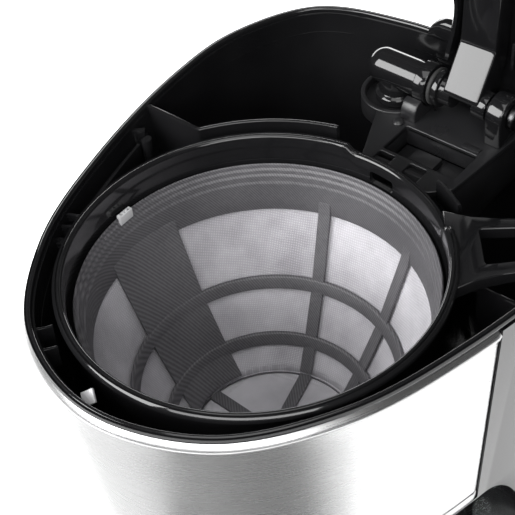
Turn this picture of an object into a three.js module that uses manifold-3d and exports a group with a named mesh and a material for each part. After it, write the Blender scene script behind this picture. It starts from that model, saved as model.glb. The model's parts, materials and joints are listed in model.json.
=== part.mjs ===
// Drip coffee maker with a round filter holder, a swing-up lid and a glass carafe.
// Units are millimetres. +Z is up and the front faces -Y.
// The parts are laid out about the common axis of the filter holder and the carafe, and the whole
// machine is then moved so that its origin is the centre of its box on the table.

import * as THREE from 'three';
import { mergeVertices } from 'three/addons/utils/BufferGeometryUtils.js';
import Module from 'manifold-3d';

const wasm = await Module();
wasm.setup();

// ---------------------------------------------------------------- driving dimensions

const GAP = 0.3;                 // clearance between pieces that touch
const RIM_Z = 300;               // top rim of the body
const HEAD_BOTTOM = 190;         // underside of the brewing head
const BASE_TOP = 42;             // top deck of the base
const BASE_BOTTOM = 3.2;         // lower edge of the base, above the feet
const BASE_INSET = 8;            // how far the waist of the body is drawn in at the base
const WALL_TAPER = THREE.MathUtils.degToRad(7);
const HOUSING_WALL = 2;
const TANK_WALL = 1.6;
const TANK_GAP = 0.4;
const TANK_FLOOR = 62;           // lowest water level, inside the column
const FLANGE = 3;                // height of the rim flange of the tank

const BAY_BACK = 58;             // front ends of the column's two wings
const BAY_RADIUS = 79;           // hollow in the column around the carafe
const BAY_SWEEP = [24, 50];      // how far the bay's roof bends back and down into the wings
const PANEL_EDGE = [23, 30];     // rear edge of the steel panel, at the rim and at its foot
const CENTRE_Y = 16.4;           // middle of the machine's box along Y
const BODY_X = -2;               // the body's plane of symmetry, beside the holder's axis

// Right half of the rim, from the middle of the front to the middle of the back.
const HALF_OUTLINE = [
  [0, -82.8], [41, -69.3], [69, -35], [84.5, 10], [93.2, 64], [91.2, 99], [73, 132], [35.5, 144.2],
  [0, 145.4],
];
const BASE_BOSSES = [[-56.5, -37.5], [52.5, -37.5], [-75, 92], [75, 92]];
const FOOT_PLACES = {
  foot_front_left: [-38, -42],
  foot_front_right: [38, -42],
  foot_rear_left: [-60, 112],
  foot_rear_right: [60, 112],
};

const HOLDER_RADIUS = 70;
const WELL_RADIUS = 77.4;        // outer face of the wall around the holder
const WELL_Y = 42.5;             // where that wall meets the sides of the body
const HANDLE_ANGLE = 40.5;       // direction of the holder's handle, in degrees from +X

const HINGE_Y = 117;
const HINGE_Z = RIM_Z - 3;
const LID_OPEN = THREE.MathUtils.degToRad(95.7);
const ELBOW_RADIUS = 7.2;
const PIVOT_RADIUS = 5.75;
const PIN_RADIUS = 3;
const RISER_X = -24;
const RISER_RADIUS = 5.7;
const BRIDGE_Z = RIM_Z - 13.7;   // top face of the bridge under the hinge
const POST_X = [21.5, 28.8];     // width of the hinge post

const POST_RADIUS = 8;           // round top of the hinge post
const BOSS_RADIUS = 14.5;        // round left end of the bridge, around the riser
const SKIRT_DEPTH = 26;          // how far the bridge's skirts reach below its deck

// Deck of the bridge from above, without its round left end.
const DECK_OUTLINE = [
  [-11, 74], [20, 74], [27, 80.5], [30.3, 120], [30.3, 137.4], [-22, 137.4], [-30, 128], [-24, 103.5],
];

const LID_UNDER = 3.6;           // lower edge of the lid's skirt above the hinge axis
const LID_TOP = 17;
const LID_SKIN = 2.2;
const LID_STEPS = 42;            // facets of the lid's outline
const SHOWER_Y = -HINGE_Y;       // the shower head sits over the middle of the filter
const DUCT_X = [1, 16.8];        // width of the duct under the lid

// The closed lid from above: the body's outline at the front, drawn in to an arm at the hinge.
const LID_OUTLINE = [
  [-2, -82.8], [38, -69], [66, -35], [81.5, 10], [84, 38], [74, 56], [48, 65], [33, 78], [31.5, 121.5],
  [-4.6, 121.5], [-5, 78], [-30, 65], [-76, 56], [-88, 38], [-85.5, 10], [-70, -35], [-42, -69],
];

// Inside of the permanent filter as [radius, height], from its top to its foot.
const CONE = [[62.6, 274], [61.4, 268.5], [50.6, 240], [39.9, 219], [33.5, 208]];
const BAND_ANGLE = 177;          // direction of the one wide rib
const BAND_WIDTH = 29;
const RIB_ANGLES = [105.5, 67, 289, 250.5];
const CLIP_ANGLES = [180, 5.5];  // two small clips on the filter's collar

const PLATE_TOP = 46;            // top of the hot plate
const PLATE_RADIUS = 62;
const CARAFE_RADIUS = 65;
const CARAFE_TOP = 160;
const CARAFE_FOOT = PLATE_TOP + GAP;
const HEATER_Z = 31.7;           // middle of the heater and of the hoses
const SWITCH_Z = 22;
const SWITCH_Y = -75.5;
const SWITCH_TILT = THREE.MathUtils.degToRad(9);

const ROUND = 28;                // facets of large round parts
const SMALL_ROUND = 12;          // facets of small round parts
const OUTLINE_STEPS = 36;        // facets of the body's outline

// ---------------------------------------------------------------- materials

const material = (color, roughness, metalness = 0) =>
  new THREE.MeshStandardMaterial({ color, roughness, metalness });

const glossBlack = material(0x0b0b0d, 0.16);
const satinBlack = material(0x151517, 0.38);
const matteBlack = material(0x1b1b1d, 0.7);
const steel = material(0xc4c4c6, 0.3, 1);
const aluminium = material(0xa9acb0, 0.42, 1);
const meshGrey = material(0xcfccd4, 0.8);
const silicone = material(0xd9d6cf, 0.6);
const rubber = material(0x1a1a1a, 0.9);
const ceramic = material(0xe6e2d8, 0.7);
const amber = material(0xd8701c, 0.25);
const clearGlass = new THREE.MeshStandardMaterial({
  color: 0xdfe8e8, roughness: 0.05, transparent: true, opacity: 0.35,
});

// ---------------------------------------------------------------- solids

// A closed copy of a geometry: seams merged, empty triangles dropped and faces turned outward.
function closed(geometry) {
  const bare = geometry.clone();
  bare.deleteAttribute('normal');
  bare.deleteAttribute('uv');
  const merged = mergeVertices(bare, 1e-4);
  const place = merged.getAttribute('position');
  const corners = [new THREE.Vector3(), new THREE.Vector3(), new THREE.Vector3()];
  const kept = [];
  let volume = 0;
  for (let i = 0; i < merged.index.count; i += 3) {
    const [a, b, c] = [0, 1, 2].map((k) => merged.index.getX(i + k));
    if (a === b || b === c || c === a) continue;
    kept.push([a, b, c]);
    [a, b, c].forEach((v, k) => corners[k].fromBufferAttribute(place, v));
    volume += corners[0].dot(corners[1].cross(corners[2]));
  }
  const facing = volume < 0 ? kept.map(([a, b, c]) => [a, c, b]) : kept;
  merged.setIndex(facing.flat());
  return merged;
}

function solid(geometry) {
  const shape = closed(geometry);
  const vertProperties = new Float32Array(shape.getAttribute('position').array);
  const triVerts = new Uint32Array(shape.index.array);
  return new wasm.Manifold(new wasm.Mesh({ numProp: 3, vertProperties, triVerts }));
}

function geometryOf(body) {
  const mesh = body.getMesh();
  const geometry = new THREE.BufferGeometry();
  geometry.setAttribute('position', new THREE.BufferAttribute(mesh.vertProperties, 3));
  geometry.setIndex(new THREE.BufferAttribute(mesh.triVerts, 1));
  return geometry;
}

const join = (...bodies) => bodies.reduce((all, body) => all.add(body));
const cut = (body, ...tools) => tools.reduce((rest, tool) => rest.subtract(tool), body);
const common = (a, b) => a.intersect(b);

function block(x0, x1, y0, y1, z0, z1) {
  const box = new THREE.BoxGeometry(x1 - x0, y1 - y0, z1 - z0);
  return solid(box.translate((x0 + x1) / 2, (y0 + y1) / 2, (z0 + z1) / 2));
}

// An upright round bar.
function rod(radius, z0, z1, x = 0, y = 0, facets = ROUND) {
  const bar = new THREE.CylinderGeometry(radius, radius, z1 - z0, facets);
  return solid(bar.rotateX(Math.PI / 2).translate(x, y, (z0 + z1) / 2));
}

// A round bar along X.
function rodX(radius, x0, x1, y, z, facets = SMALL_ROUND) {
  const bar = new THREE.CylinderGeometry(radius, radius, x1 - x0, facets);
  return solid(bar.rotateZ(Math.PI / 2).translate((x0 + x1) / 2, y, z));
}

// A round bar along Y.
function rodY(radius, y0, y1, x, z, facets = SMALL_ROUND) {
  const bar = new THREE.CylinderGeometry(radius, radius, y1 - y0, facets);
  return solid(bar.translate(x, (y0 + y1) / 2, z));
}

// A solid turned about an upright axis from [radius, height] points.
function turned(profile, facets = ROUND, x = 0, y = 0) {
  const points = profile.map(([r, z]) => new THREE.Vector2(r, z));
  return solid(new THREE.LatheGeometry(points, facets).rotateX(Math.PI / 2).translate(x, y, 0));
}

// A ring of that kind, whose profile closes on itself.
const ring = (profile, facets, x, y) => turned([...profile, profile[0]], facets, x, y);

function plate(shape, z0, z1) {
  const options = { depth: z1 - z0, bevelEnabled: false, curveSegments: 10 };
  return solid(new THREE.ExtrudeGeometry(shape, options).translate(0, 0, z0));
}

// A profile in the YZ plane, extruded along X.
function slice(points, x0, x1) {
  const shape = new THREE.Shape(points.map(([y, z]) => new THREE.Vector2(y, z)));
  const bar = new THREE.ExtrudeGeometry(shape, { depth: x1 - x0, bevelEnabled: false });
  return solid(bar.rotateX(Math.PI / 2).rotateZ(Math.PI / 2).translate(x0, 0, 0));
}

// A flat section swept along a smooth curve.
function swept(section, points, steps) {
  const path = new THREE.CatmullRomCurve3(points.map((p) => new THREE.Vector3(...p)));
  return solid(new THREE.ExtrudeGeometry(section, { steps, extrudePath: path, curveSegments: 3 }));
}

function circleSection(radius, sides = 10) {
  const corners = [];
  for (let i = 0; i < sides; i += 1) {
    const angle = (2 * Math.PI * i) / sides;
    corners.push(new THREE.Vector2(radius * Math.cos(angle), radius * Math.sin(angle)));
  }
  return new THREE.Shape(corners);
}

// A pie slice about the Z axis, between two angles in degrees.
function wedge(from, to, radius, z0, z1) {
  const shape = new THREE.Shape();
  shape.moveTo(0, 0);
  shape.absarc(0, 0, radius, THREE.MathUtils.degToRad(from), THREE.MathUtils.degToRad(to), false);
  shape.lineTo(0, 0);
  return plate(shape, z0, z1);
}

// A thin upright slab that runs outward from the Z axis.
function radialSlab(angle, width, radius, z0, z1) {
  const box = new THREE.BoxGeometry(radius, width, z1 - z0);
  box.translate(radius / 2, 0, (z0 + z1) / 2);
  return solid(box.rotateZ(THREE.MathUtils.degToRad(angle)));
}

// ---------------------------------------------------------------- the body's outline

function mirroredCurve(half) {
  const left = half.slice(1, -1).reverse().map(([x, y]) => [-x, y]);
  const points = [...half, ...left].map(([x, y]) => new THREE.Vector3(BODY_X + x, y, 0));
  return new THREE.CatmullRomCurve3(points, true, 'centripetal');
}

const outline = mirroredCurve(HALF_OUTLINE);

// The point at parameter t of the outline, moved inward by a distance.
function outlinePoint(t, inset) {
  const point = outline.getPoint(t);
  const along = outline.getTangent(t);
  return new THREE.Vector2(point.x - along.y * inset, point.y + along.x * inset);
}

// A body whose section at each [inset, height] level is the outline, moved inward.
function outlineSolid(levels) {
  const reach = 100;
  const profile = levels.map(([inset, z]) => new THREE.Vector2(reach - inset, z));
  profile.unshift(new THREE.Vector2(0, profile[0].y));
  profile.push(new THREE.Vector2(0, profile[profile.length - 1].y));
  const geometry = new THREE.LatheGeometry(profile, OUTLINE_STEPS).rotateX(Math.PI / 2);
  const place = geometry.getAttribute('position');
  for (let i = 0; i < place.count; i += 1) {
    const radius = Math.hypot(place.getX(i), place.getY(i));
    const turn = Math.atan2(place.getY(i), place.getX(i)) / (2 * Math.PI);
    const lap = Math.round(turn * OUTLINE_STEPS) / OUTLINE_STEPS;
    const middle = radius < 1 ? new THREE.Vector2(0, 30) : outlinePoint((lap + 1) % 1, reach - radius);
    place.setXY(i, middle.x, middle.y);
  }
  return solid(geometry);
}

// How far the outside of the body lies inside the rim's outline at a height.
function wallInset(z) {
  const head = (RIM_Z - Math.max(z, HEAD_BOTTOM)) * Math.tan(WALL_TAPER);
  const down = Math.max(0, HEAD_BOTTOM - z) / (HEAD_BOTTOM - BASE_TOP);
  return THREE.MathUtils.lerp(head, BASE_INSET, down);
}

// The space inside the body's outside face, drawn in by an offset, between two heights.
function bodySpace(z0, z1, offset) {
  const heights = z0 < HEAD_BOTTOM && z1 > HEAD_BOTTOM ? [z0, HEAD_BOTTOM, z1] : [z0, z1];
  return outlineSolid(heights.map((z) => [wallInset(z) + offset, z]));
}

// The bay that the carafe stands in, grown by a distance.
function baySpace(grow) {
  const low = BASE_TOP - 5;
  const high = HEAD_BOTTOM + grow;
  const back = BAY_BACK + grow;
  const [depth, drop] = BAY_SWEEP;
  const profile = [[-120, high], [-120, low], [back, low]];
  for (let turn = 0; turn <= 90; turn += 18) {
    const angle = THREE.MathUtils.degToRad(turn);
    profile.push([back - depth * (1 - Math.cos(angle)), high - drop * (1 - Math.sin(angle))]);
  }
  return join(slice(profile, -120, 120), rod(BAY_RADIUS + grow, low, high));
}

// The space in front of the steel panel's rear edge, moved back by a distance.
function panelSpace(offset) {
  const [high, low] = PANEL_EDGE.map((y) => y + offset);
  return slice([[-120, HEAD_BOTTOM], [low, HEAD_BOTTOM], [high, RIM_Z], [-120, RIM_Z]], -120, 120);
}

// ---------------------------------------------------------------- base

function baseHousing() {
  const outside = outlineSolid([
    [5, BASE_BOTTOM], [3.6, 9], [6.4, 34], [BASE_INSET, BASE_TOP - 1.5], [BASE_INSET + 2.5, BASE_TOP],
  ]);
  const inside = outlineSolid([[7.6, 0], [7.6, 9], [9, 34], [11, BASE_TOP - HOUSING_WALL]]);
  const bosses = BASE_BOSSES.map(([x, y]) => rod(4, 6, y < 0 ? 34 : BASE_TOP - 2, x, y, 16));
  const screwHoles = BASE_BOSSES.map(([x, y]) => rod(2.1, 5, 24, x, y, 12));
  const plateHole = rod(PLATE_RADIUS + 2.5, BASE_TOP - 10, BASE_TOP + 5);
  const columnHole = common(
    outlineSolid([[20, BASE_TOP - 10], [20, BASE_TOP + 5]]),
    block(-100, 100, 90, 160, BASE_TOP - 10, BASE_TOP + 5),
  );
  const switchHole = block(-13.3, 20.3, -90, -70, SWITCH_Z - 9.3, SWITCH_Z + 9.3);
  const cordHole = rodY(8.3, 120, 150, -42, 20);
  const shell = cut(outside, inside, plateHole, columnHole, switchHole, cordHole);
  return cut(join(shell, ...bosses), ...screwHoles, switchHole);
}

function basePlate() {
  const sheet = outlineSolid([[8.2, BASE_BOTTOM], [8.2, BASE_BOTTOM + 2.2]]);
  const screwHoles = BASE_BOSSES.map(([x, y]) => rod(2.3, 0, 10, x, y, 12));
  return cut(sheet, ...screwHoles);
}

function foot([x, y]) {
  return turned([[0, 0], [8, 0], [9, 0.8], [9, BASE_BOTTOM - GAP], [0, BASE_BOTTOM - GAP]], 16, x, y);
}

function baseScrew([x, y]) {
  const top = BASE_BOTTOM - GAP;
  return turned([[0, 1.2], [3.4, 1.2], [3.9, top], [1.7, top], [1.7, 20], [0, 21.5]], 12, x, y);
}

function hotPlate() {
  const r = PLATE_RADIUS;
  return turned([
    [0, PLATE_TOP - 1.4], [35, PLATE_TOP - 1.4], [35, HEATER_Z + 5.3], [49, HEATER_Z + 5.3],
    [49, PLATE_TOP - 1.4], [r - 5, PLATE_TOP - 1.4], [r - 3, BASE_TOP - 5], [r + 1.8, BASE_TOP - 5],
    [r + 1.8, BASE_TOP - 3.8], [r - 0.4, BASE_TOP - 3.8], [r - 0.8, PLATE_TOP - 0.6], [r - 2, PLATE_TOP],
    [0, PLATE_TOP],
  ]);
}

// Cast heater: the water tube and the heating rod lie side by side in one horseshoe.
function heatingTube() {
  const section = new THREE.Shape();
  section.moveTo(-5, -7);
  section.lineTo(5, -7);
  section.lineTo(5, 7);
  section.lineTo(-5, 7);
  section.lineTo(-5, -7);
  const points = [];
  for (let angle = -215; angle <= 35; angle += 25) {
    const turn = THREE.MathUtils.degToRad(angle);
    points.push([42 * Math.cos(turn), 42 * Math.sin(turn), HEATER_Z]);
  }
  const legs = [[-26, 58, HEATER_Z], [-26, 72, HEATER_Z]];
  return swept(section, [...legs.slice().reverse(), ...points, ...legs.map(([x, y, z]) => [-x, y, z])], 44);
}

function heaterBracket() {
  const top = HEATER_Z - 5.3;
  const strap = block(-46, 46, -7, 7, top - 2.2, top - 1);
  const ends = [-1, 1].map((side) => block(side * 46 - 3, side * 46 + 3, -7, 7, top - 2.2, top));
  return cut(join(strap, ...ends), rod(2.5, 20, 32, 0, 0, 12));
}

function bracketScrew() {
  const top = HEATER_Z - 7.8;
  return turned([[0, top - 3], [3.6, top - 3], [4, top], [2.1, top], [2.1, 43], [0, 43.8]], 12);
}

function thermostat() {
  const top = HEATER_Z - 7.8;
  const cup = rod(8, top - 5.5, top, 24, 0, 24);
  const tabs = [-4, 4].map((y) => block(31, 38, y - 1, y + 1, top - 4, top - 3));
  return join(cup, ...tabs);
}

function thermalFuse() {
  return rodX(2.6, -38, -14, 0, HEATER_Z - 10.5, 12);
}

function cordGland() {
  const y = 135;
  const barrel = rodY(7.9, y - 9, y + 6.5, -42, 20);
  const collar = rodY(10.5, y + 5.6, y + 8.2, -42, 20);
  return cut(join(barrel, collar), rodY(4, y - 20, y + 20, -42, 20));
}

// ---------------------------------------------------------------- switch

function switchBezel() {
  const front = SWITCH_Y - 7;
  const frame = block(-13, 20, front, -72, SWITCH_Z - 9, SWITCH_Z + 9);
  const opening = block(-10, 10, front - 1, -70, SWITCH_Z - 7, SWITCH_Z + 7);
  return cut(frame, opening, rodY(2.9, front - 1, -70, 15.2, SWITCH_Z));
}

function indicatorLens() {
  const y = SWITCH_Y - 7.4;
  return join(rodY(2.6, y, -72.5, 15.2, SWITCH_Z, 16), rodY(1.8, y - 0.7, y + 1, 15.2, SWITCH_Z, 16));
}

// Laid out about its own pivot, which runs along X.
function rockerBody() {
  return slice([[3, -4.5], [-5.4, -5.9], [-4.2, 0], [-5.4, 5.9], [3, 4.5]], -9.6, 9.6);
}

// ---------------------------------------------------------------- body

function mainHousing() {
  const top = RIM_Z - FLANGE - GAP;
  const outside = cut(bodySpace(BASE_TOP + GAP, top, 0), baySpace(0));
  const inside = cut(bodySpace(BASE_TOP - 1, RIM_Z + 1, HOUSING_WALL), baySpace(HOUSING_WALL));
  const dripHole = rod(26, HEAD_BOTTOM - 5, HEAD_BOTTOM + 10);
  const recess = common(
    cut(bodySpace(HEAD_BOTTOM + 0.8, top - 1.2, -1), bodySpace(HEAD_BOTTOM - 5, RIM_Z, 1.2)),
    panelSpace(GAP),
  );
  return cut(outside, inside, dripHole, recess);
}

// Brushed skin around the front of the head. It gets deeper towards the middle of the front.
function frontPanel() {
  const low = HEAD_BOTTOM + 1.1;
  const high = RIM_Z - FLANGE - GAP - 1.5;
  const skin = cut(bodySpace(low, high, 0.05), bodySpace(0, RIM_Z, 0.85));
  const front = common(skin, panelSpace(-GAP));
  const risingEdge = slice([[32, low - 1], [32, low + 4], [-90, low]], -120, 120);
  return cut(front, risingEdge);
}

// Inner tub: the water tank at the back and the well for the filter holder at the front.
function waterTank() {
  const skin = HOUSING_WALL + TANK_GAP;
  const outside = cut(bodySpace(TANK_FLOOR, RIM_Z - 1, skin), baySpace(skin));
  const inside = cut(
    bodySpace(TANK_FLOOR + TANK_WALL, RIM_Z + 1, skin + TANK_WALL),
    baySpace(skin + TANK_WALL),
  );
  const flange = cut(
    outlineSolid([[0.2, RIM_Z - FLANGE], [0, RIM_Z - 1.2], [1, RIM_Z]]),
    outlineSolid([[skin + TANK_WALL, RIM_Z - 10], [skin + TANK_WALL - 0.8, RIM_Z + 1]]),
  );
  const floor = HEAD_BOTTOM + skin;
  const wellWall = common(
    ring([[WELL_RADIUS - 2, floor], [WELL_RADIUS, floor], [WELL_RADIUS, RIM_Z], [WELL_RADIUS - 2, RIM_Z]]),
    block(-120, 120, WELL_Y, 120, floor, RIM_Z),
  );
  const reach = Math.sqrt(WELL_RADIUS ** 2 - WELL_Y ** 2) - 1.5;
  const links = common(
    join(
      block(-100, -reach, WELL_Y, WELL_Y + 2, floor, RIM_Z),
      block(reach, 100, WELL_Y, WELL_Y + 2, floor, RIM_Z - 12),
    ),
    outside,
  );
  const lowWall = block(-20, 78, 30, 90, BRIDGE_Z - 8, RIM_Z + 1);
  const collar = rod(25, floor, floor + 4);
  const walls = join(cut(outside, inside), flange, cut(wellWall, lowWall), links, collar);
  const [low, high] = [TANK_FLOOR - 5, TANK_FLOOR + 10];
  const riserHole = rod(RISER_RADIUS + 0.4, low, high, RISER_X, HINGE_Y, SMALL_ROUND);
  const drain = rod(4.4, low, high, -RISER_X, 104, SMALL_ROUND);
  return cut(walls, rod(22.5, floor - 5, floor + 20), riserHole, drain);
}

// Rounded fairing behind the hinge, on the middle of the back rim.
function rearFairing() {
  const y = 144;
  const profile = [[y - 7, RIM_Z + GAP], [y + 0.4, RIM_Z + GAP]];
  for (let turn = 0; turn <= 90; turn += 15) {
    const angle = THREE.MathUtils.degToRad(turn);
    profile.push([y - 4.6 + 5 * Math.cos(angle), RIM_Z + 5 + 5 * Math.sin(angle)]);
  }
  profile.push([y - 7, RIM_Z + 10]);
  const bar = slice(profile, -24, 24);
  const slopes = [-1, 1].map((side) => {
    const shape = new THREE.BoxGeometry(20, 40, 20).rotateY(side * 0.9);
    return solid(shape.translate(side * 30, y, RIM_Z + 13));
  });
  return cut(bar, ...slopes);
}

function hingeBridge() {
  const low = BRIDGE_Z - SKIRT_DEPTH;
  const high = BRIDGE_Z - 1;
  const shape = new THREE.Shape(DECK_OUTLINE.map(([x, y]) => new THREE.Vector2(x, y)));
  const deck = plate(shape, BRIDGE_Z - 2.4, BRIDGE_Z);
  const boss = rod(BOSS_RADIUS, BRIDGE_Z - 8, BRIDGE_Z, RISER_X, HINGE_Y);
  const skirts = [
    block(-14, -12, 80, 131, low, high),
    block(25, 27, 82, 131, low, high),
    block(-14, 27, 80, 82, low, high),
    block(-14, 27, 129, 131, low, high),
  ];
  const saddle = block(-13.5, -6.5, HINGE_Y - 13, HINGE_Y + 3, high, HINGE_Z - 2);
  const well = block(-8.5, 24, 86, 101.5, BRIDGE_Z - 5, BRIDGE_Z + 1);
  const notches = [[-8.5, -1.3], [5.5, 13.3]].map(([x0, x1]) => block(x0, x1, 70, 84.2, low, BRIDGE_Z + 1));
  const elbowRoom = join(
    rodX(ELBOW_RADIUS + GAP, -40, 0, HINGE_Y, HINGE_Z, 16),
    rodX(ELBOW_RADIUS + 1.6, -11.8, 0, HINGE_Y, HINGE_Z, 16),
    rod(ELBOW_RADIUS + 1.6, BRIDGE_Z - 2.3, HINGE_Z, RISER_X, HINGE_Y, 16),
    rod(RISER_RADIUS + 0.4, BRIDGE_Z - 10, HINGE_Z, RISER_X, HINGE_Y, SMALL_ROUND),
  );
  return cut(join(deck, boss, ...skirts, saddle), well, ...notches, elbowRoom);
}

function hingePost() {
  const [x0, x1] = POST_X;
  const base = BRIDGE_Z + GAP;
  const leg = block(x0, x1, HINGE_Y - POST_RADIUS, HINGE_Y + POST_RADIUS, base, HINGE_Z);
  const eye = rodX(POST_RADIUS, x0, x1, HINGE_Y, HINGE_Z, 20);
  return cut(join(leg, eye), rodX(PIN_RADIUS + 0.35, x0 - 5, x1 + 5, HINGE_Y, HINGE_Z));
}

function hingePin() {
  const end = POST_X[1] + 3.4;
  const pin = rodX(PIN_RADIUS, 14.5, end - 1, HINGE_Y, HINGE_Z);
  return join(pin, rodX(5, POST_X[1] + GAP, end, HINGE_Y, HINGE_Z));
}

// Fixed outlet: water rises in the socket and leaves along the hinge line.
function outletElbow() {
  const across = join(
    rodX(ELBOW_RADIUS, -35, -8, HINGE_Y, HINGE_Z, 16),
    rodX(8.5, -11.5, -6, HINGE_Y, HINGE_Z, 16),
    rodX(5.6, -36.6, -34, HINGE_Y, HINGE_Z, 16),
  );
  const socket = join(
    rod(ELBOW_RADIUS, BRIDGE_Z - 2, HINGE_Z, RISER_X, HINGE_Y, 16),
    rod(8.5, BRIDGE_Z - 2, BRIDGE_Z + 1.5, RISER_X, HINGE_Y, 16),
  );
  const bores = join(
    rodX(4.4, -33, 0, HINGE_Y, HINGE_Z),
    rodX(PIVOT_RADIUS + 0.45, -16, 0, HINGE_Y, HINGE_Z, 16),
    rod(4.4, BRIDGE_Z, HINGE_Z, RISER_X, HINGE_Y, SMALL_ROUND),
    rod(RISER_RADIUS + GAP, BRIDGE_Z - 10, BRIDGE_Z + 6, RISER_X, HINGE_Y, SMALL_ROUND),
  );
  return cut(join(across, socket), bores);
}

function riserTube() {
  const low = TANK_FLOOR - 16;
  const tube = rod(RISER_RADIUS, low, BRIDGE_Z + 5.5, RISER_X, HINGE_Y, SMALL_ROUND);
  return cut(tube, rod(4.2, low - 1, BRIDGE_Z + 9, RISER_X, HINGE_Y, SMALL_ROUND));
}

function elbowSeal() {
  const seal = rodX(7.6, -5.6, -3.8, HINGE_Y, HINGE_Z, 16);
  return cut(seal, rodX(PIVOT_RADIUS + GAP, -9, 0, HINGE_Y, HINGE_Z, 16));
}

// ---------------------------------------------------------------- water path under the tank

function checkValve() {
  const top = TANK_FLOOR + 4;
  const profile = [
    [0, top - 22], [3.4, top - 22], [4, top - 20], [4, top - 8], [7, top - 7.5], [7, top - 4.4],
    [4, top - 4.4], [4, top], [0, top],
  ];
  return turned(profile, SMALL_ROUND, -RISER_X, 104);
}

// Straight down from a fitting, then forward to the heater's leg on the same side.
function hoseRoute(x, y, top) {
  const side = Math.sign(x);
  return [
    [x, y, top], [x, y - 0.2, top - 4], [x + side * 0.4, y - 3, HEATER_Z + 2.4], [x + side, y - 10, HEATER_Z],
    [side * 26, 88, HEATER_Z], [side * 26, 75, HEATER_Z],
  ];
}

function inletHose() {
  const low = TANK_FLOOR - 18.6;
  return swept(circleSection(5.4), hoseRoute(-RISER_X, 104, low), 12);
}

function outletHose() {
  return swept(circleSection(5.4), hoseRoute(RISER_X, HINGE_Y, TANK_FLOOR - 16.6), 14);
}

function hoseClamp(side) {
  const band = rodY(7.1, 79, 85, side * 26, HEATER_Z, SMALL_ROUND);
  const ear = block(side * 26 - 1.5, side * 26 + 1.5, 79, 85, HEATER_Z - 10, HEATER_Z - 6);
  return cut(join(band, ear), rodY(5.9, 70, 100, side * 26, HEATER_Z, SMALL_ROUND));
}

// ---------------------------------------------------------------- lid, laid out closed about its hinge

// The lid's outline, moved inward by a distance.
function lidOutline(inset) {
  const points = LID_OUTLINE.map(([x, y]) => new THREE.Vector3(x, y - HINGE_Y, 0));
  const curve = new THREE.CatmullRomCurve3(points, true, 'centripetal');
  const edge = [];
  for (let i = 0; i < LID_STEPS; i += 1) {
    const point = curve.getPoint(i / LID_STEPS);
    const along = curve.getTangent(i / LID_STEPS);
    edge.push(new THREE.Vector2(point.x - along.y * inset, point.y + along.x * inset));
  }
  return new THREE.Shape(edge);
}

function lidCover() {
  const outside = join(
    plate(lidOutline(0.2), LID_UNDER + 1.5, LID_TOP - 2.5),
    plate(lidOutline(1.2), LID_UNDER, LID_TOP - 1),
    plate(lidOutline(3.2), LID_TOP - 3, LID_TOP),
  );
  const inside = plate(lidOutline(LID_SKIN + 0.6), LID_UNDER - 5, LID_TOP - LID_SKIN);
  const hingeRoom = rodX(11, -50, 60, 0, 0, 20);
  const rearRoom = block(-60, 60, 3, 20, -20, 10);
  return cut(outside, inside, hingeRoom, rearRoom);
}

function lidLiner() {
  const sheet = plate(lidOutline(LID_SKIN + 1.2), LID_UNDER + 3.2, LID_UNDER + 5);
  const hingeRoom = block(-60, 60, -46, 40, -20, 30);
  const ductRoom = block(DUCT_X[0] - 2, DUCT_X[1] + 2, -130, 40, -20, 30);
  const showerRoom = rod(17, -20, 30, (DUCT_X[0] + DUCT_X[1]) / 2, SHOWER_Y);
  return cut(sheet, hingeRoom, ductRoom, showerRoom);
}

// Pivot tube and flat duct in one: water enters the tube at the hinge and runs to the shower head.
function waterDuct() {
  const tube = rodX(PIVOT_RADIUS, -15, 19.8, 0, 0, 16);
  const shoulder = rodX(7.4, -3.5, -1.2, 0, 0, 16);
  const arm = slice(
    [
      [-1, -5], [-3, -5.3], [-20.6, 1.9], [-23, 4.4], [SHOWER_Y - 8, 4.4], [SHOWER_Y - 8, 13.8], [-16, 13.8],
      [-4, 9.5], [3, 4],
    ],
    ...DUCT_X,
  );
  const channel = slice(
    [[0, 0], [-20, 4], [-23, 6.2], [SHOWER_Y - 6, 6.2], [SHOWER_Y - 6, 12], [-16, 12], [-3.5, 7.2], [0, 4]],
    DUCT_X[0] + 1.8,
    DUCT_X[1] - 1.8,
  );
  const bore = rodX(4.3, -20, 9, 0, 0, SMALL_ROUND);
  const pinHole = rodX(PIN_RADIUS + GAP, 13, 25, 0, 0, SMALL_ROUND);
  const outlet = rod(5.5, 0, 9, (DUCT_X[0] + DUCT_X[1]) / 2, SHOWER_Y, SMALL_ROUND);
  return cut(join(tube, shoulder, arm), channel, bore, pinHole, outlet);
}

function showerHead() {
  const top = 4.1;
  const dish = turned([
    [0, -4.5], [22, -4.5], [27, -1.5], [28, top - 1], [28, top], [25.6, top], [24, -0.8],
    [20.5, -2.6], [0, -2.6],
  ], 20, 0, SHOWER_Y);
  const holes = [];
  for (let i = 0; i < 6; i += 1) {
    const angle = (Math.PI * i) / 3;
    holes.push(rod(1.6, -8, 2, 14 * Math.cos(angle), SHOWER_Y + 14 * Math.sin(angle), 6));
  }
  return cut(dish, ...holes);
}

// ---------------------------------------------------------------- filter holder

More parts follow.
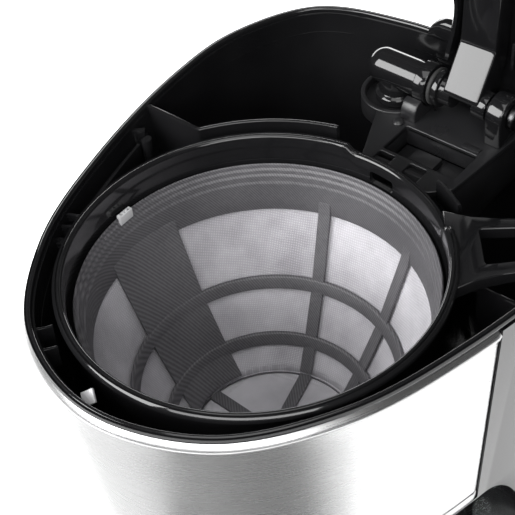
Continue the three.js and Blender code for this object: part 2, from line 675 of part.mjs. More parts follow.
function holderHandle() {
  const loop = new THREE.Shape();
  loop.moveTo(64, -19);
  loop.quadraticCurveTo(74, -14.5, 84, -13.4);
  loop.lineTo(96, -12.4);
  loop.absarc(96, -2.4, 10, -Math.PI / 2, 0, false);
  loop.lineTo(106, 3.4);
  loop.absarc(96, 3.4, 10, 0, Math.PI / 2, false);
  loop.lineTo(86, 14);
  loop.quadraticCurveTo(76, 15.5, 64, 20);
  const hole = new THREE.Path();
  hole.moveTo(78, -8);
  hole.lineTo(96, -7);
  hole.absarc(96, -2.4, 4.6, -Math.PI / 2, 0, false);
  hole.lineTo(100.6, 3.4);
  hole.absarc(96, 3.4, 4.6, 0, Math.PI / 2, false);
  hole.lineTo(78, 9.2);
  loop.holes.push(hole);
  const bar = new THREE.ExtrudeGeometry(loop, { depth: 5, bevelEnabled: false, curveSegments: 5 });
  return solid(bar.translate(0, 0, RIM_Z - 6.5).rotateZ(THREE.MathUtils.degToRad(HANDLE_ANGLE)));
}

function filterHolder() {
  const outer = [
    [0, 197.4], [12, 197.4], [37.2, 202.6], [43.4, 216.6], [54.1, 237.6], [65, 266.3], [66.1, 273.5],
    [66.3, 282.5], [67.4, 286], [67.8, 296.6], [HOLDER_RADIUS, 297],
    [HOLDER_RADIUS, RIM_Z - 0.6], [HOLDER_RADIUS - 0.8, RIM_Z], [0, RIM_Z],
  ];
  const inner = [
    [0, 195.5], [9, 195.5], [9, 199], [35.2, 204.2], [41.2, 217.5], [51.9, 238.5], [62.8, 267], [63.9, 274],
    [64, 283.8], [65.4, 284.2], [66.2, RIM_Z + 1], [0, RIM_Z + 1],
  ];
  const nozzle = rod(12, 186, 199, 0, 0, ROUND);
  const cup = join(turned(outer), nozzle, cut(holderHandle(), rod(68, 280, 320)));
  const lowRim = cut(
    wedge(50, 98, 90, RIM_Z - 2.5, RIM_Z + 2),
    rod(60, RIM_Z - 5, RIM_Z + 4),
  );
  const slot = common(radialSlab(85, 11, 90, RIM_Z - 12, RIM_Z - 7), rod(75, 280, 320));
  return cut(cup, turned(inner), lowRim, slot, rod(6.2, 180, 210, 0, 0, SMALL_ROUND));
}

// ---------------------------------------------------------------- drip stop in the holder's nozzle

function valveStem() {
  return turned([
    [0, 178.2], [3, 178.2], [4, 179.4], [4, 182.1], [5.2, 182.6], [5.2, 184.2], [2.2, 184.6], [2.2, 196.8],
    [5.6, 197.5], [5.6, 199.1], [1.5, 201.1], [0, 201.1],
  ], SMALL_ROUND);
}

function valveSeal() {
  return ring([[2.6, 195.8], [7.6, 195.8], [7.6, 196.5], [2.6, 196.5]], 16);
}

// The spring's outside shape, as a sleeve around the stem.
function valveSpring() {
  return ring([[3, 185], [5.4, 185], [5.4, 195.2], [3, 195.2]], SMALL_ROUND);
}

// ---------------------------------------------------------------- permanent filter

function coneShell(outset, inset) {
  const [bottom, top] = [CONE[CONE.length - 1], CONE[0]];
  const points = [[top[0], top[1] + 1], ...CONE, [bottom[0], bottom[1] - 2.5]];
  const outside = points.map(([r, z]) => [r + outset, z]);
  const inside = points.map(([r, z]) => [r - inset, z]).reverse();
  return ring([...outside, ...inside], ROUND);
}

function filterFrame() {
  const collar = ring([
    [64.4, 284.6], [64.4, 288.6], [63.4, 288.6], [63.2, 286.6], [62.5, 286.2], [62.3, 284.4], [61.7, 284],
    [61.5, 281.4], [61.1, 281], [60.2, 268.5], [61, 268.5], [62.2, 274.6], [63, 274.6], [63.3, 284.6],
  ]);
  const [low, high] = [205.2, 284];
  const ribs = join(
    radialSlab(BAND_ANGLE, BAND_WIDTH, 80, low, high),
    ...RIB_ANGLES.map((angle) => radialSlab(angle, 5, 80, low, high)),
  );
  const bars = common(coneShell(-0.6, 2), ribs);
  const hoops = CONE.slice(2, 4).map(([r, z]) => (
    ring([[r - 1.6, z - 2.5], [r + 0.3, z + 2.5], [r - 1.1, z + 2.5], [r - 3, z - 2.5]])
  ));
  const foot = ring([[29.6, low], [32.4, low], [32.6, low + 3.2], [29.8, low + 3.2]]);
  const spokes = [BAND_ANGLE, ...RIB_ANGLES].map((angle) => radialSlab(angle, 5, 31, low, low + 1.6));
  const hub = rod(8, low, low + 1.6);
  const clips = CLIP_ANGLES.map((angle) => common(
    radialSlab(angle, 7, 80, 285, 291.6),
    ring([[61.8, 285], [64, 285], [64, 291.6], [61.8, 291.6]]),
  ));
  return join(collar, bars, ...hoops, foot, ...spokes, hub, ...clips);
}

// A closed cup of mesh outside the ribs.
function filterMesh() {
  const skin = 0.5;
  const [radius, low] = CONE[CONE.length - 1];
  const outside = CONE.map(([r, z]) => [r + skin, z]).reverse();
  return turned([
    [0, low - 3.6], [radius + skin, low - 3.6], ...outside, ...CONE, [radius, low - 3.1], [0, low - 3.1],
  ]);
}

// ---------------------------------------------------------------- carafe

function carafeGlass() {
  const z = CARAFE_FOOT;
  const r = CARAFE_RADIUS;
  const outer = [
    [52, 0], [60, 5], [64, 18], [r, 36], [62.4, 56], [54, 79], [47, 92], [45.6, 99], [46.6, 111],
  ];
  const wall = 2.2;
  const floor = wall + 0.4;
  const inner = outer.slice(1).map(([radius, height]) => [radius - wall, Math.max(height, floor)]).reverse();
  const profile = [[0, 0], ...outer, ...inner, [0, floor]];
  return turned(profile.map(([radius, height]) => [radius, height + z]));
}

function carafeBand() {
  const z = CARAFE_FOOT;
  return ring([[47.6, z + 93], [49.6, z + 93], [49.8, z + 107], [47.9, z + 107]]);
}

function carafeHandle() {
  const section = new THREE.Shape();
  section.moveTo(-9.5, -4.5);
  section.lineTo(-7.5, -6);
  section.lineTo(7.5, -6);
  section.lineTo(9.5, -4.5);
  section.lineTo(9.5, 4.5);
  section.lineTo(7.5, 6);
  section.lineTo(-7.5, 6);
  section.lineTo(-9.5, 4.5);
  section.lineTo(-9.5, -4.5);
  const route = [
    [0, -52, 148], [0, -72, 150], [0, -96, 149], [0, -111, 138], [0, -115, 118], [0, -110, 92], [0, -101, 74],
  ];
  const grip = swept(section, route, 22);
  const clamp = block(-9, 9, -60, -50.2, 139, 156);
  const screwHole = join(rodY(4.2, -90, -60.3, 0, 146, 12), rodY(2.1, -62, -40, 0, 146, 12));
  return cut(join(grip, clamp), rod(50.3, 100, 170), screwHole);
}

function bandScrew() {
  return join(rodY(3.6, -63, -60.6, 0, 146, 12), rodY(1.8, -61, -55, 0, 146, 12));
}

// Turns a few degrees to unlock from the neck, by the ridge across its top.
function carafeLid() {
  const under = CARAFE_TOP - 1.5;
  const dish = turned([
    [0, under + 6.5], [38, under + 6.5], [41.8, under], [41.8, under - 6], [43, under - 6], [43, under + 1],
    [48.6, under + 1], [49.4, under + 3], [48.8, under + 9], [44, under + 13], [0, under + 15.5],
  ]);
  const ridge = block(-34, 34, -3, 3, under + 10, under + 17.6);
  const bowl = turned([[0, under + 12], [7, under + 12], [15, under + 20], [0, under + 20]], 20);
  const inlet = rod(3, 150, 190, 0, 0, SMALL_ROUND);
  return cut(join(dish, ridge), bowl, inlet);
}

// ---------------------------------------------------------------- assembly

const machine = new THREE.Group();
machine.position.set(-BODY_X, -CENTRE_Y, 0);

const lid = new THREE.Group();
lid.position.set(0, HINGE_Y, HINGE_Z);
lid.rotation.x = -LID_OPEN;
machine.add(lid);

const rocker = new THREE.Group();
rocker.position.set(0, SWITCH_Y, SWITCH_Z);
rocker.rotation.x = -SWITCH_TILT;
machine.add(rocker);

function add(name, body, finish, parent = machine) {
  const mesh = new THREE.Mesh(geometryOf(body), finish);
  mesh.name = name;
  parent.add(mesh);
}

add('base_housing', baseHousing(), satinBlack);
add('base_plate', basePlate(), matteBlack);
for (const [name, place] of Object.entries(FOOT_PLACES)) add(name, foot(place), rubber);
BASE_BOSSES.forEach((place, i) => add(`base_screw_${i + 1}`, baseScrew(place), steel));
add('hot_plate', hotPlate(), matteBlack);
add('heating_tube', heatingTube(), aluminium);
add('heater_bracket', heaterBracket(), steel);
add('bracket_screw', bracketScrew(), steel);
add('thermostat', thermostat(), aluminium);
add('thermal_fuse', thermalFuse(), ceramic);
add('cord_gland', cordGland(), rubber);
add('switch_bezel', switchBezel(), glossBlack);
add('indicator_lens', indicatorLens(), amber);
add('switch_rocker', rockerBody(), glossBlack, rocker);

add('main_housing', mainHousing(), glossBlack);
add('front_panel', frontPanel(), steel);
add('water_tank', waterTank(), glossBlack);
add('rear_fairing', rearFairing(), glossBlack);
add('hinge_bridge', hingeBridge(), satinBlack);
add('hinge_post', hingePost(), glossBlack);
add('hinge_pin', hingePin(), steel);
add('outlet_elbow', outletElbow(), glossBlack);
add('elbow_seal', elbowSeal(), rubber);
add('riser_tube', riserTube(), glossBlack);
add('check_valve', checkValve(), ceramic);
add('inlet_hose', inletHose(), silicone);
add('outlet_hose', outletHose(), silicone);
add('inlet_clamp', hoseClamp(1), steel);
add('outlet_clamp', hoseClamp(-1), steel);

add('lid_cover', lidCover(), glossBlack, lid);
add('lid_liner', lidLiner(), satinBlack, lid);
add('water_duct', waterDuct(), glossBlack, lid);
add('shower_head', showerHead(), satinBlack, lid);

add('filter_holder', filterHolder(), glossBlack);
add('valve_stem', valveStem(), satinBlack);
add('valve_seal', valveSeal(), silicone);
add('valve_spring', valveSpring(), steel);
add('filter_frame', filterFrame(), matteBlack);
add('filter_mesh', filterMesh(), meshGrey);

add('carafe_glass', carafeGlass(), clearGlass);
add('carafe_band', carafeBand(), steel);
add('carafe_handle', carafeHandle(), satinBlack);
add('band_screw', bandScrew(), steel);
add('carafe_lid', carafeLid(), satinBlack);

export default machine;
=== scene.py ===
import json
from math import atan2, cos, degrees, hypot, pi, radians, sin, sqrt, tan

import bmesh
import bpy
from mathutils import Matrix, Vector, noise


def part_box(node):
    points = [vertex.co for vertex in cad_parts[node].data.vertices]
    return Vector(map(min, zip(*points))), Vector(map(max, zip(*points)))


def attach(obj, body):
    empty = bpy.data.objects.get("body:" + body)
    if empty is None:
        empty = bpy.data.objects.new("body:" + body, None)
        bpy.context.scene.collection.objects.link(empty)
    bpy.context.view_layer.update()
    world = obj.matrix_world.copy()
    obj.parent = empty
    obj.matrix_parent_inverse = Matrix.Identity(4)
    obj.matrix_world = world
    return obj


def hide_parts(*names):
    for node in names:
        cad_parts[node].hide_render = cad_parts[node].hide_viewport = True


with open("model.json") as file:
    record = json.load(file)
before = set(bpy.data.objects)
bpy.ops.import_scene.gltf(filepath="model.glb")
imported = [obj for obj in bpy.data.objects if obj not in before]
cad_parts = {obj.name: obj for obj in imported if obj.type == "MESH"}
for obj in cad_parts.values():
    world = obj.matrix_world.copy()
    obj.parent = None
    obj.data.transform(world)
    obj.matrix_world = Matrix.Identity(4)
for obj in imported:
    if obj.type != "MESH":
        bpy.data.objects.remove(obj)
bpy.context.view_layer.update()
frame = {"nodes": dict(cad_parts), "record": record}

# ---------------------------------------------------------------- driving dimensions, in millimetres
# Shapes are laid out in millimetres with Y = 0 on the axis of the filter holder, and piece() moves
# them into the row frame.

AXIS_X = sum(corner.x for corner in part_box("hot_plate")) * 500
AXIS_Y = sum(corner.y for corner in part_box("hot_plate")) * 500
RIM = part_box("water_tank")[1].z * 1000
JOINTS = {joint["name"]: joint for joint in frame["record"]["behaviour"]["joints"]}
HINGE_Y = JOINTS["lid_hinge"]["pos_m"][1] * 1000 - AXIS_Y
HINGE_Z = JOINTS["lid_hinge"]["pos_m"][2] * 1000
LID_OPEN = radians(JOINTS["lid_hinge"]["range_deg"][1])

HEAD_BOTTOM = RIM - 110
BASE_TOP = 42
TAPER = radians(7)
BASE_INSET = 8
BAY_BACK = 58
BAY_RADIUS = 79
BAY_SWEEP = (24, 50)
PANEL_EDGE = (23, 30)
BODY_X = -2
BRIDGE = RIM - 13.7
ELBOW_RADIUS = 7.2
RISER_X = -24
POST_X = (21.5, 28.8)
DUCT_X = (1, 16.8)
HANDLE_ANGLE = 40.5
PLATE_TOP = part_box("hot_plate")[1].z * 1000
CARAFE_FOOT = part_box("carafe_glass")[0].z * 1000

HALF_OUTLINE = [
    (0, -82.8), (41, -69.3), (69, -35), (84.5, 10), (93.2, 64), (91.2, 99), (73, 132), (35.5, 144.2),
                (0, 145.4),
]
LID_OUTLINE = [
    (-2, -82.8), (38, -69), (66, -35), (81.5, 10), (84, 38), (74, 56), (48, 65), (33, 78), (31.5, 121.5),
    (-4.6, 121.5), (-5, 78), (-30, 65), (-76, 56), (-88, 38), (-85.5, 10), (-70, -35), (-42, -69),
]
BOSSES = ((-56.5, -37.5), (52.5, -37.5), (-75, 92), (75, 92))
CONE = [(62.6, 274), (61.4, 268.5), (50.6, 240), (39.9, 219), (33.5, 208)]
BAND_ANGLE = 177
RIBS = (105.5, 67, 289, 250.5)
CLIPS = (180, 5.5)
CORE = 0.01  # where a turned profile starts, just off its axis
CAMERA_PLACE = (0.2586, -0.2802, 0.6577)
CAMERA_AHEAD = (-0.4990, 0.5167, -0.6957)
CAMERA_RIGHT = (0.7697, 0.6331, -0.0819)

# ---------------------------------------------------------------- mesh helpers


def link(name, data):
    obj = bpy.data.objects.new(name, data)
    bpy.context.scene.collection.objects.link(obj)
    return obj


def tidy(obj, distance=1e-3):
    """Merges doubled points, drops empty faces and turns the faces outward."""
    work = bmesh.new()
    work.from_mesh(obj.data)
    bmesh.ops.remove_doubles(work, verts=work.verts, dist=distance)
    bmesh.ops.dissolve_degenerate(work, edges=work.edges, dist=distance / 10)
    bmesh.ops.recalc_face_normals(work, faces=work.faces)
    work.to_mesh(obj.data)
    work.free()
    return obj


def build(name, points, faces):
    mesh = bpy.data.meshes.new(name)
    mesh.from_pydata([tuple(point) for point in points], [], faces)
    return tidy(link(name, mesh))


def baked(obj):
    """Applies an object's modifiers, or turns a curve into a mesh."""
    mesh = bpy.data.meshes.new_from_object(obj.evaluated_get(bpy.context.evaluated_depsgraph_get()))
    name = obj.name
    bpy.data.objects.remove(obj)
    return link(name, mesh)


def merged(obj, *others):
    """One object of several meshes."""
    work = bmesh.new()
    for item in (obj, *others):
        work.from_mesh(item.data)
    work.to_mesh(obj.data)
    work.free()
    for item in others:
        bpy.data.objects.remove(item)
    return obj


def boolean(obj, operation, tools):
    for tool in tools:
        step = obj.modifiers.new("step", "BOOLEAN")
        step.operation = operation
        step.solver = "EXACT"
        step.object = tool
    result = baked(obj)
    for tool in tools:
        bpy.data.objects.remove(tool)
    return result


def cut(obj, *tools):
    return boolean(obj, "DIFFERENCE", tools)


def join(obj, *tools):
    return boolean(obj, "UNION", tools)


def common(obj, *tools):
    return boolean(obj, "INTERSECT", tools)


def bevelled(obj, width, steps=2, angle=40):
    edge = obj.modifiers.new("edge", "BEVEL")
    edge.width = width
    edge.segments = steps
    edge.limit_method = "ANGLE"
    edge.angle_limit = radians(angle)
    return baked(obj)


def moved(obj, matrix):
    obj.data.transform(matrix)
    if matrix.is_negative:
        obj.data.flip_normals()
    return obj


def soft(points, radius, steps=4):
    """A closed line with its corners rounded."""
    points = [Vector(point) for point in points]
    count = len(points)
    line = []
    for i, corner in enumerate(points):
        before = points[i - 1] - corner
        after = points[(i + 1) % count] - corner
        reach = min(radius, before.length * 0.45, after.length * 0.45)
        start = corner + before.normalized() * reach
        end = corner + after.normalized() * reach
        for k in range(steps + 1):
            f = k / steps
            line.append(start * (1 - f) ** 2 + corner * 2 * f * (1 - f) + end * f ** 2)
    return line


def loft(name, rings, closed=False):
    """A skin over rings of points. Its two ends are capped unless it closes on itself."""
    count = len(rings[0])
    points = [point for ring in rings for point in ring]
    faces = []
    for i in range(len(rings) if closed else len(rings) - 1):
        low = i * count
        high = (i + 1) % len(rings) * count
        for k in range(count):
            n = (k + 1) % count
            faces.append((low + k, low + n, high + n, high + k))
    if not closed:
        faces.append(tuple(reversed(range(count))))
        faces.append(tuple(range(len(points) - count, len(points))))
    return build(name, points, faces)


def circle(radius, steps, z=0.0, x=0.0, y=0.0):
    turns = [2 * pi * k / steps for k in range(steps)]
    return [Vector((x + radius * cos(a), y + radius * sin(a), z)) for a in turns]


def rod(name, radius, z0, z1, x=0.0, y=0.0, steps=96):
    return loft(name, [circle(radius, steps, z0, x, y), circle(radius, steps, z1, x, y)])


def block(name, x0, x1, y0, y1, z0, z1):
    ring = [(x0, y0), (x1, y0), (x1, y1), (x0, y1)]
    return loft(name, [[Vector((x, y, z)) for x, y in ring] for z in (z0, z1)])


def chip(name, x0, x1, y0, y1, z0, z1, edge, steps=2):
    """A block with rounded edges."""
    return bevelled(block(name, x0, x1, y0, y1, z0, z1), edge, steps)


def about_z(angle):
    return Matrix.Rotation(radians(angle), 4, "Z")


def turned(name, profile, steps=160, warp=None, x=0.0, y=0.0):
    """A closed [radius, height] profile turned about an upright axis."""
    rings = []
    for k in range(steps):
        angle = 2 * pi * k / steps
        ring = []
        for r, z in profile:
            r, z = warp(angle, r, z) if warp else (r, z)
            ring.append(Vector((x + r * cos(angle), y + r * sin(angle), z)))
        rings.append(ring)
    return loft(name, rings, closed=True)


def along_x(name, profile, y, z, steps=72):
    """A closed [radius, x] profile turned about a line along X."""
    obj = turned(name, profile, steps)
    return moved(obj, Matrix.Translation((0, y, z)) @ Matrix.Rotation(radians(90), 4, "Y"))


def along_y(name, profile, x, z, steps=48):
    """A closed [radius, y] profile turned about a line along Y."""
    obj = turned(name, profile, steps)
    return moved(obj, Matrix.Translation((x, 0, z)) @ Matrix.Rotation(radians(-90), 4, "X"))


def rod_x(radius, x0, x1, y, z):
    return along_x("rod_x", [(CORE, x0), (radius, x0), (radius, x1), (CORE, x1)], y, z)


def plate(name, loops, z0, z1, edge=0.4):
    """A flat plate with rounded edges. The loops after the first are its holes."""
    curve = bpy.data.curves.new(name, "CURVE")
    curve.dimensions = "2D"
    curve.fill_mode = "BOTH"
    for loop in loops:
        line = curve.splines.new("POLY")
        line.points.add(len(loop) - 1)
        for place, point in zip(line.points, loop):
            place.co = (point[0], point[1], 0, 1)
        line.use_cyclic_u = True
    curve.extrude = (z1 - z0) / 2 - edge
    curve.bevel_depth = edge
    curve.bevel_resolution = 2
    curve.offset = -edge
    obj = tidy(baked(link(name, curve)), 1e-3)
    return moved(obj, Matrix.Translation((0, 0, (z0 + z1) / 2)))


def slice_x(name, profile, x0, x1, edge=0.0):
    """A [y, z] profile pushed along X."""
    turn = Matrix(((0, 0, 1, 0), (1, 0, 0, 0), (0, 1, 0, 0), (0, 0, 0, 1)))
    if edge:
        return moved(plate(name, [profile], x0, x1, edge), turn)
    return loft(name, [[Vector((x, y, z)) for y, z in profile] for x in (x0, x1)])


def swept(name, section, path):
    """A section moved along a path that stays in one upright plane through X = 0."""
    rings = []
    for i, point in enumerate(path):
        ahead = path[min(i + 1, len(path) - 1)] - path[max(i - 1, 0)]
        ahead.normalize()
        up = Vector((0, -ahead.z, ahead.y))
        rings.append([point + Vector((a, 0, 0)) + up * b for a, b in section])
    return loft(name, rings)


# ---------------------------------------------------------------- outlines


def spline(points, steps):
    """A closed smooth curve through the points, with the same number of steps on each span."""
    points = [Vector(point) for point in points]
    count = len(points)
    line = []
    for k in range(steps):
        i, f = divmod(k * count / steps, 1)
        a, b, c, d = (points[(int(i) + j) % count] for j in (-1, 0, 1, 2))
        p, q, r = (sqrt((v - u).length) for u, v in ((a, b), (b, c), (c, d)))
        out = ((b - a) / p - (c - a) / (p + q) + (c - b) / q) * q
        into = ((c - b) / q - (d - b) / (q + r) + (d - c) / r) * q
        line.append(
            b * (2 * f ** 3 - 3 * f ** 2 + 1) + out * (f ** 3 - 2 * f ** 2 + f)
            + c * (3 * f ** 2 - 2 * f ** 3) + into * (f ** 3 - f ** 2)
        )
    return line


def drawn_in(loop, inset):
    """A loop moved inward by a distance."""
    count = len(loop)
    moved_loop = []
    for i, point in enumerate(loop):
        ahead = (loop[(i + 1) % count] - loop[i - 1]).normalized()
        moved_loop.append(point + Vector((-ahead.y, ahead.x)) * inset)
    return moved_loop


def level(loop, inset, z):
    return [Vector((point.x, point.y, z)) for point in drawn_in(loop, inset)]


MIRRORED = HALF_OUTLINE + [(-x, y) for x, y in reversed(HALF_OUTLINE[1:-1])]
BODY = spline([(x + BODY_X, y) for x, y in MIRRORED], 256)
LID = spline([(x, y - HINGE_Y) for x, y in LID_OUTLINE], 238)


def wall_inset(z):
    head = (RIM - max(z, HEAD_BOTTOM)) * tan(TAPER)
    down = max(0, HEAD_BOTTOM - z) / (HEAD_BOTTOM - BASE_TOP)
    return head + (BASE_INSET - head) * down


def body_space(z0, z1, offset):
    heights = [z0, HEAD_BOTTOM, z1] if z0 < HEAD_BOTTOM < z1 else [z0, z1]
    return loft("space", [level(BODY, wall_inset(z) + offset, z) for z in heights])


def bay_tools(grow):
    """The bay that the carafe stands in, as a box with a swept roof and an upright cylinder."""
    high = HEAD_BOTTOM + grow
    back = BAY_BACK + grow
    depth, drop = BAY_SWEEP
    profile = [(-120, high), (-120, BASE_TOP - 5), (back, BASE_TOP - 5)]
    for k in range(17):
        angle = pi / 2 * k / 16
        profile.append((back - depth * (1 - cos(angle)), high - drop * (1 - sin(angle))))
    box = slice_x("bay", profile, -120, 120)
    return box, rod("bay_round", BAY_RADIUS + grow, BASE_TOP - 6, high, steps=160)


def panel_tool(offset, low=HEAD_BOTTOM, high=RIM + 5):
    """The space in front of the steel panel's rear edge."""
    lean = (PANEL_EDGE[1] - PANEL_EDGE[0]) / (RIM - HEAD_BOTTOM)
    ends = [(PANEL_EDGE[0] + offset + (RIM - z) * lean, z) for z in (low, high)]
    return slice_x("panel_space", [(-130, low), *ends, (-130, high)], -130, 130)


# ---------------------------------------------------------------- materials


class Nodes:
    """Short ways to wire a material. Coordinates are in metres, fixed to the piece."""

    def __init__(self, name):
        self.material = bpy.data.materials.new(name)
        self.material.use_nodes = True
        self.tree = self.material.node_tree
        self.shader = self.tree.nodes["Principled BSDF"]
        self.place = self.add("ShaderNodeTexCoord").outputs["Object"]

    def add(self, kind, **settings):
        node = self.tree.nodes.new(kind)
        for key, value in settings.items():
            setattr(node, key, value)
        return node

    def wire(self, source, target):
        self.tree.links.new(source, target)

    def stretched(self, scale):
        node = self.add("ShaderNodeMapping")
        node.inputs["Scale"].default_value = scale
        self.wire(self.place, node.inputs["Vector"])
        return node.outputs["Vector"]

    def grain(self, scale, detail=3.0, place=None, rough=0.5):
        node = self.add("ShaderNodeTexNoise")
        node.inputs["Scale"].default_value = scale
        node.inputs["Detail"].default_value = detail
        node.inputs["Roughness"].default_value = rough
        self.wire(place or self.place, node.inputs["Vector"])
        return node.outputs["Fac"]

    def between(self, value, low, high, start=0.3, end=0.7):
        node = self.add("ShaderNodeMapRange")
        for key, number in (("From Min", start), ("From Max", end), ("To Min", low), ("To Max", high)):
            node.inputs[key].default_value = number
        self.wire(value, node.inputs["Value"])
        return node.outputs["Result"]

    def maths(self, operation, a, b):
        node = self.add("ShaderNodeMath", operation=operation)
        for socket, value in zip(node.inputs, (a, b)):
            if isinstance(value, (int, float)):
                socket.default_value = value
            else:
                self.wire(value, socket)
        return node.outputs["Value"]

    def colour(self, value, dark, light):
        node = self.add("ShaderNodeMix", data_type="RGBA")
        node.inputs["A"].default_value = (*dark, 1)
        node.inputs["B"].default_value = (*light, 1)
        self.wire(value, node.inputs["Factor"])
        self.wire(node.outputs["Result"], self.shader.inputs["Base Color"])

    def rough(self, value):
        self.wire(value, self.shader.inputs["Roughness"])

    def bump(self, value, height, strength=1.0, after=None):
        node = self.add("ShaderNodeBump")
        node.inputs["Strength"].default_value = strength
        node.inputs["Distance"].default_value = height
        self.wire(value, node.inputs["Height"])
        if after:
            self.wire(after, node.inputs["Normal"])
        self.wire(node.outputs["Normal"], self.shader.inputs["Normal"])
        return node.outputs["Normal"]

    def fixed(self, **numbers):
        for key, number in numbers.items():
            self.shader.inputs[key.replace("_", " ")].default_value = number


def plastic(name, dark, light, low, high, texture, height, dust=0.06):
    """Moulded plastic: fine texture, uneven sheen, and a trace of dust in the roughness."""
    m = Nodes(name)
    patches = m.grain(38, 4)
    specks = m.between(m.grain(2600, 1), 0, dust, 0.66, 0.74)
    m.colour(m.between(patches, 0, 1), dark, light)
    m.rough(m.maths("ADD", m.between(m.grain(90, 5), low, high), specks))
    flow = m.bump(m.grain(26, 2), 0.00006, 0.5)
    m.bump(m.grain(texture, 2), height, 0.6, flow)
    m.fixed(IOR=1.5)
    return m.material


def metal(name, dark, light, low, high, scale, height=0.00002):
    """Metal with fine scratches that run the way the scale is short."""
    m = Nodes(name)
    lines = m.grain(1.0, 5, m.stretched(scale), 0.7)
    clouds = m.grain(16, 3)
    m.colour(m.between(m.maths("ADD", lines, m.maths("MULTIPLY", clouds, 0.4)), 0, 1, 0.4, 1.0), dark, light)
    m.rough(m.between(lines, low, high))
    m.bump(lines, height, 0.7)
    m.fixed(Metallic=1.0)
    return m.material


def woven():
    """Fine nylon cloth: two sets of slanting threads, soft folds whose shade is painted into the colour, and
    cloudy patches.
    """
    m = Nodes("nylon_mesh")
    flat = m.add("ShaderNodeUVMap", uv_map="cloth").outputs["UV"]
    threads = []
    for slant in (50, -40):
        turn = m.add("ShaderNodeMapping")
        turn.inputs["Rotation"].default_value = (0, 0, radians(slant))
        m.wire(flat, turn.inputs["Vector"])
        wave = m.add("ShaderNodeTexWave", bands_direction="X")
        wave.inputs["Scale"].default_value = 340
        wave.inputs["Distortion"].default_value = 0.5
        wave.inputs["Detail"].default_value = 1
        m.wire(turn.outputs["Vector"], wave.inputs["Vector"])
        threads.append(wave.outputs["Fac"])
    weave = m.maths("MULTIPLY", *threads)
    folds_and_fold_shade = m.grain(30, 5, None, 0.62)
    clouds = m.grain(11, 2)
    # Painted shade: the fold noise also lightens and darkens the colour along the folds.
    shade = m.maths("ADD", m.between(weave, 0, 0.4, 0, 1), m.between(folds_and_fold_shade, 0, 0.45, 0.38, 0.64))
    shade = m.maths("ADD", shade, m.between(clouds, 0, 0.3, 0.4, 0.62))
    m.colour(shade, (0.25, 0.242, 0.26), (0.56, 0.55, 0.58))
    m.rough(m.between(folds_and_fold_shade, 0.5, 0.75))
    flow = m.bump(folds_and_fold_shade, 0.0007, 0.6)
    m.bump(weave, 0.0001, 0.8, flow)
    m.fixed(IOR=1.5, Sheen_Weight=0.2, Sheen_Roughness=0.4)
    return m.material


def ribbed():
    """Matte plastic of the filter frame, with fine slanting ribs like a knurl."""
    m = Nodes("frame_plastic")
    wave = m.add("ShaderNodeTexWave", bands_direction="DIAGONAL")
    wave.inputs["Scale"].default_value = 420
    wave.inputs["Distortion"].default_value = 0.4
    m.wire(m.place, wave.inputs["Vector"])
    grain = m.grain(700, 2)
    cloud = m.grain(45, 3)
    shade = m.maths("ADD", m.maths("ADD", wave.outputs["Fac"], grain), cloud)
    m.colour(m.between(shade, 0, 1, 0.8, 2.1), (0.042, 0.041, 0.045), (0.112, 0.109, 0.116))
    m.rough(m.between(grain, 0.42, 0.6))
    m.bump(wave.outputs["Fac"], 0.00008, 0.5)
    m.fixed(IOR=1.5)
    return m.material


def glass():
    m = Nodes("clear_glass")
    smear = m.grain(34, 4)
    m.colour(m.between(smear, 0, 1), (0.86, 0.92, 0.91), (0.98, 1.0, 0.99))
    m.rough(m.between(smear, 0.0, 0.05, 0.5, 0.8))
    m.bump(m.grain(20, 1), 0.00005, 0.3)
    m.fixed(IOR=1.47, Transmission_Weight=1.0)
    return m.material


def floor_material():
    m = Nodes("floor")
    grain = m.grain(60, 4)
    m.colour(m.between(grain, 0, 1), (0.84, 0.84, 0.84), (0.88, 0.88, 0.88))
    m.rough(m.between(grain, 0.6, 0.7))
    m.bump(grain, 0.0001, 0.2)
    m.fixed(Emission_Strength=1.1, Emission_Color=(1, 1, 1, 1))
    return m.material


BLACK = (0.005, 0.005, 0.0055)
LOOKS = {
    "gloss_black": plastic("gloss_black", BLACK, (0.008, 0.008, 0.0085), 0.05, 0.11, 900, 0.000003),
    "satin_black": plastic("satin_black", (0.007, 0.007, 0.0075), (0.012, 0.012, 0.013), 0.26, 0.38, 1500,
                           0.00002),
    "matte_black": plastic("matte_black", (0.016, 0.016, 0.017), (0.026, 0.026, 0.028), 0.5, 0.65, 1500,
                           0.00004),
    "brushed_steel": metal("brushed_steel", (0.465, 0.465, 0.47), (0.49, 0.49, 0.49), 0.265, 0.285,
                           (14, 14, 2200), height=0.0000004),
    "steel_hardware": metal("steel_hardware", (0.5, 0.5, 0.51), (0.66, 0.66, 0.67), 0.2, 0.4, (500, 90, 500)),
    "hot_plate_coating": plastic("hot_plate_coating", (0.012, 0.012, 0.012), (0.03, 0.03, 0.03), 0.34, 0.5,
                                 2200, 0.00006, 0.2),
    "cast_aluminium": metal("cast_aluminium", (0.36, 0.37, 0.39), (0.5, 0.51, 0.53), 0.4, 0.6,
                            (300, 300, 300),
                            height=0.00008),
    "nylon_mesh": woven(),
    "silicone": plastic("silicone", (0.55, 0.52, 0.47), (0.68, 0.65, 0.6), 0.4, 0.55, 600, 0.00003),
    "black_rubber": plastic("black_rubber", (0.012, 0.012, 0.012), (0.02, 0.02, 0.02), 0.6, 0.8, 1100,
                            0.00006),
    "white_nylon": plastic("white_nylon", (0.66, 0.63, 0.56), (0.78, 0.75, 0.69), 0.35, 0.5, 900, 0.00002),
    "amber_lens": plastic("amber_lens", (0.62, 0.17, 0.015), (0.8, 0.27, 0.03), 0.08, 0.16, 500, 0.00002),
    "clear_glass": glass(),
}
FRAME_PLASTIC = ribbed()
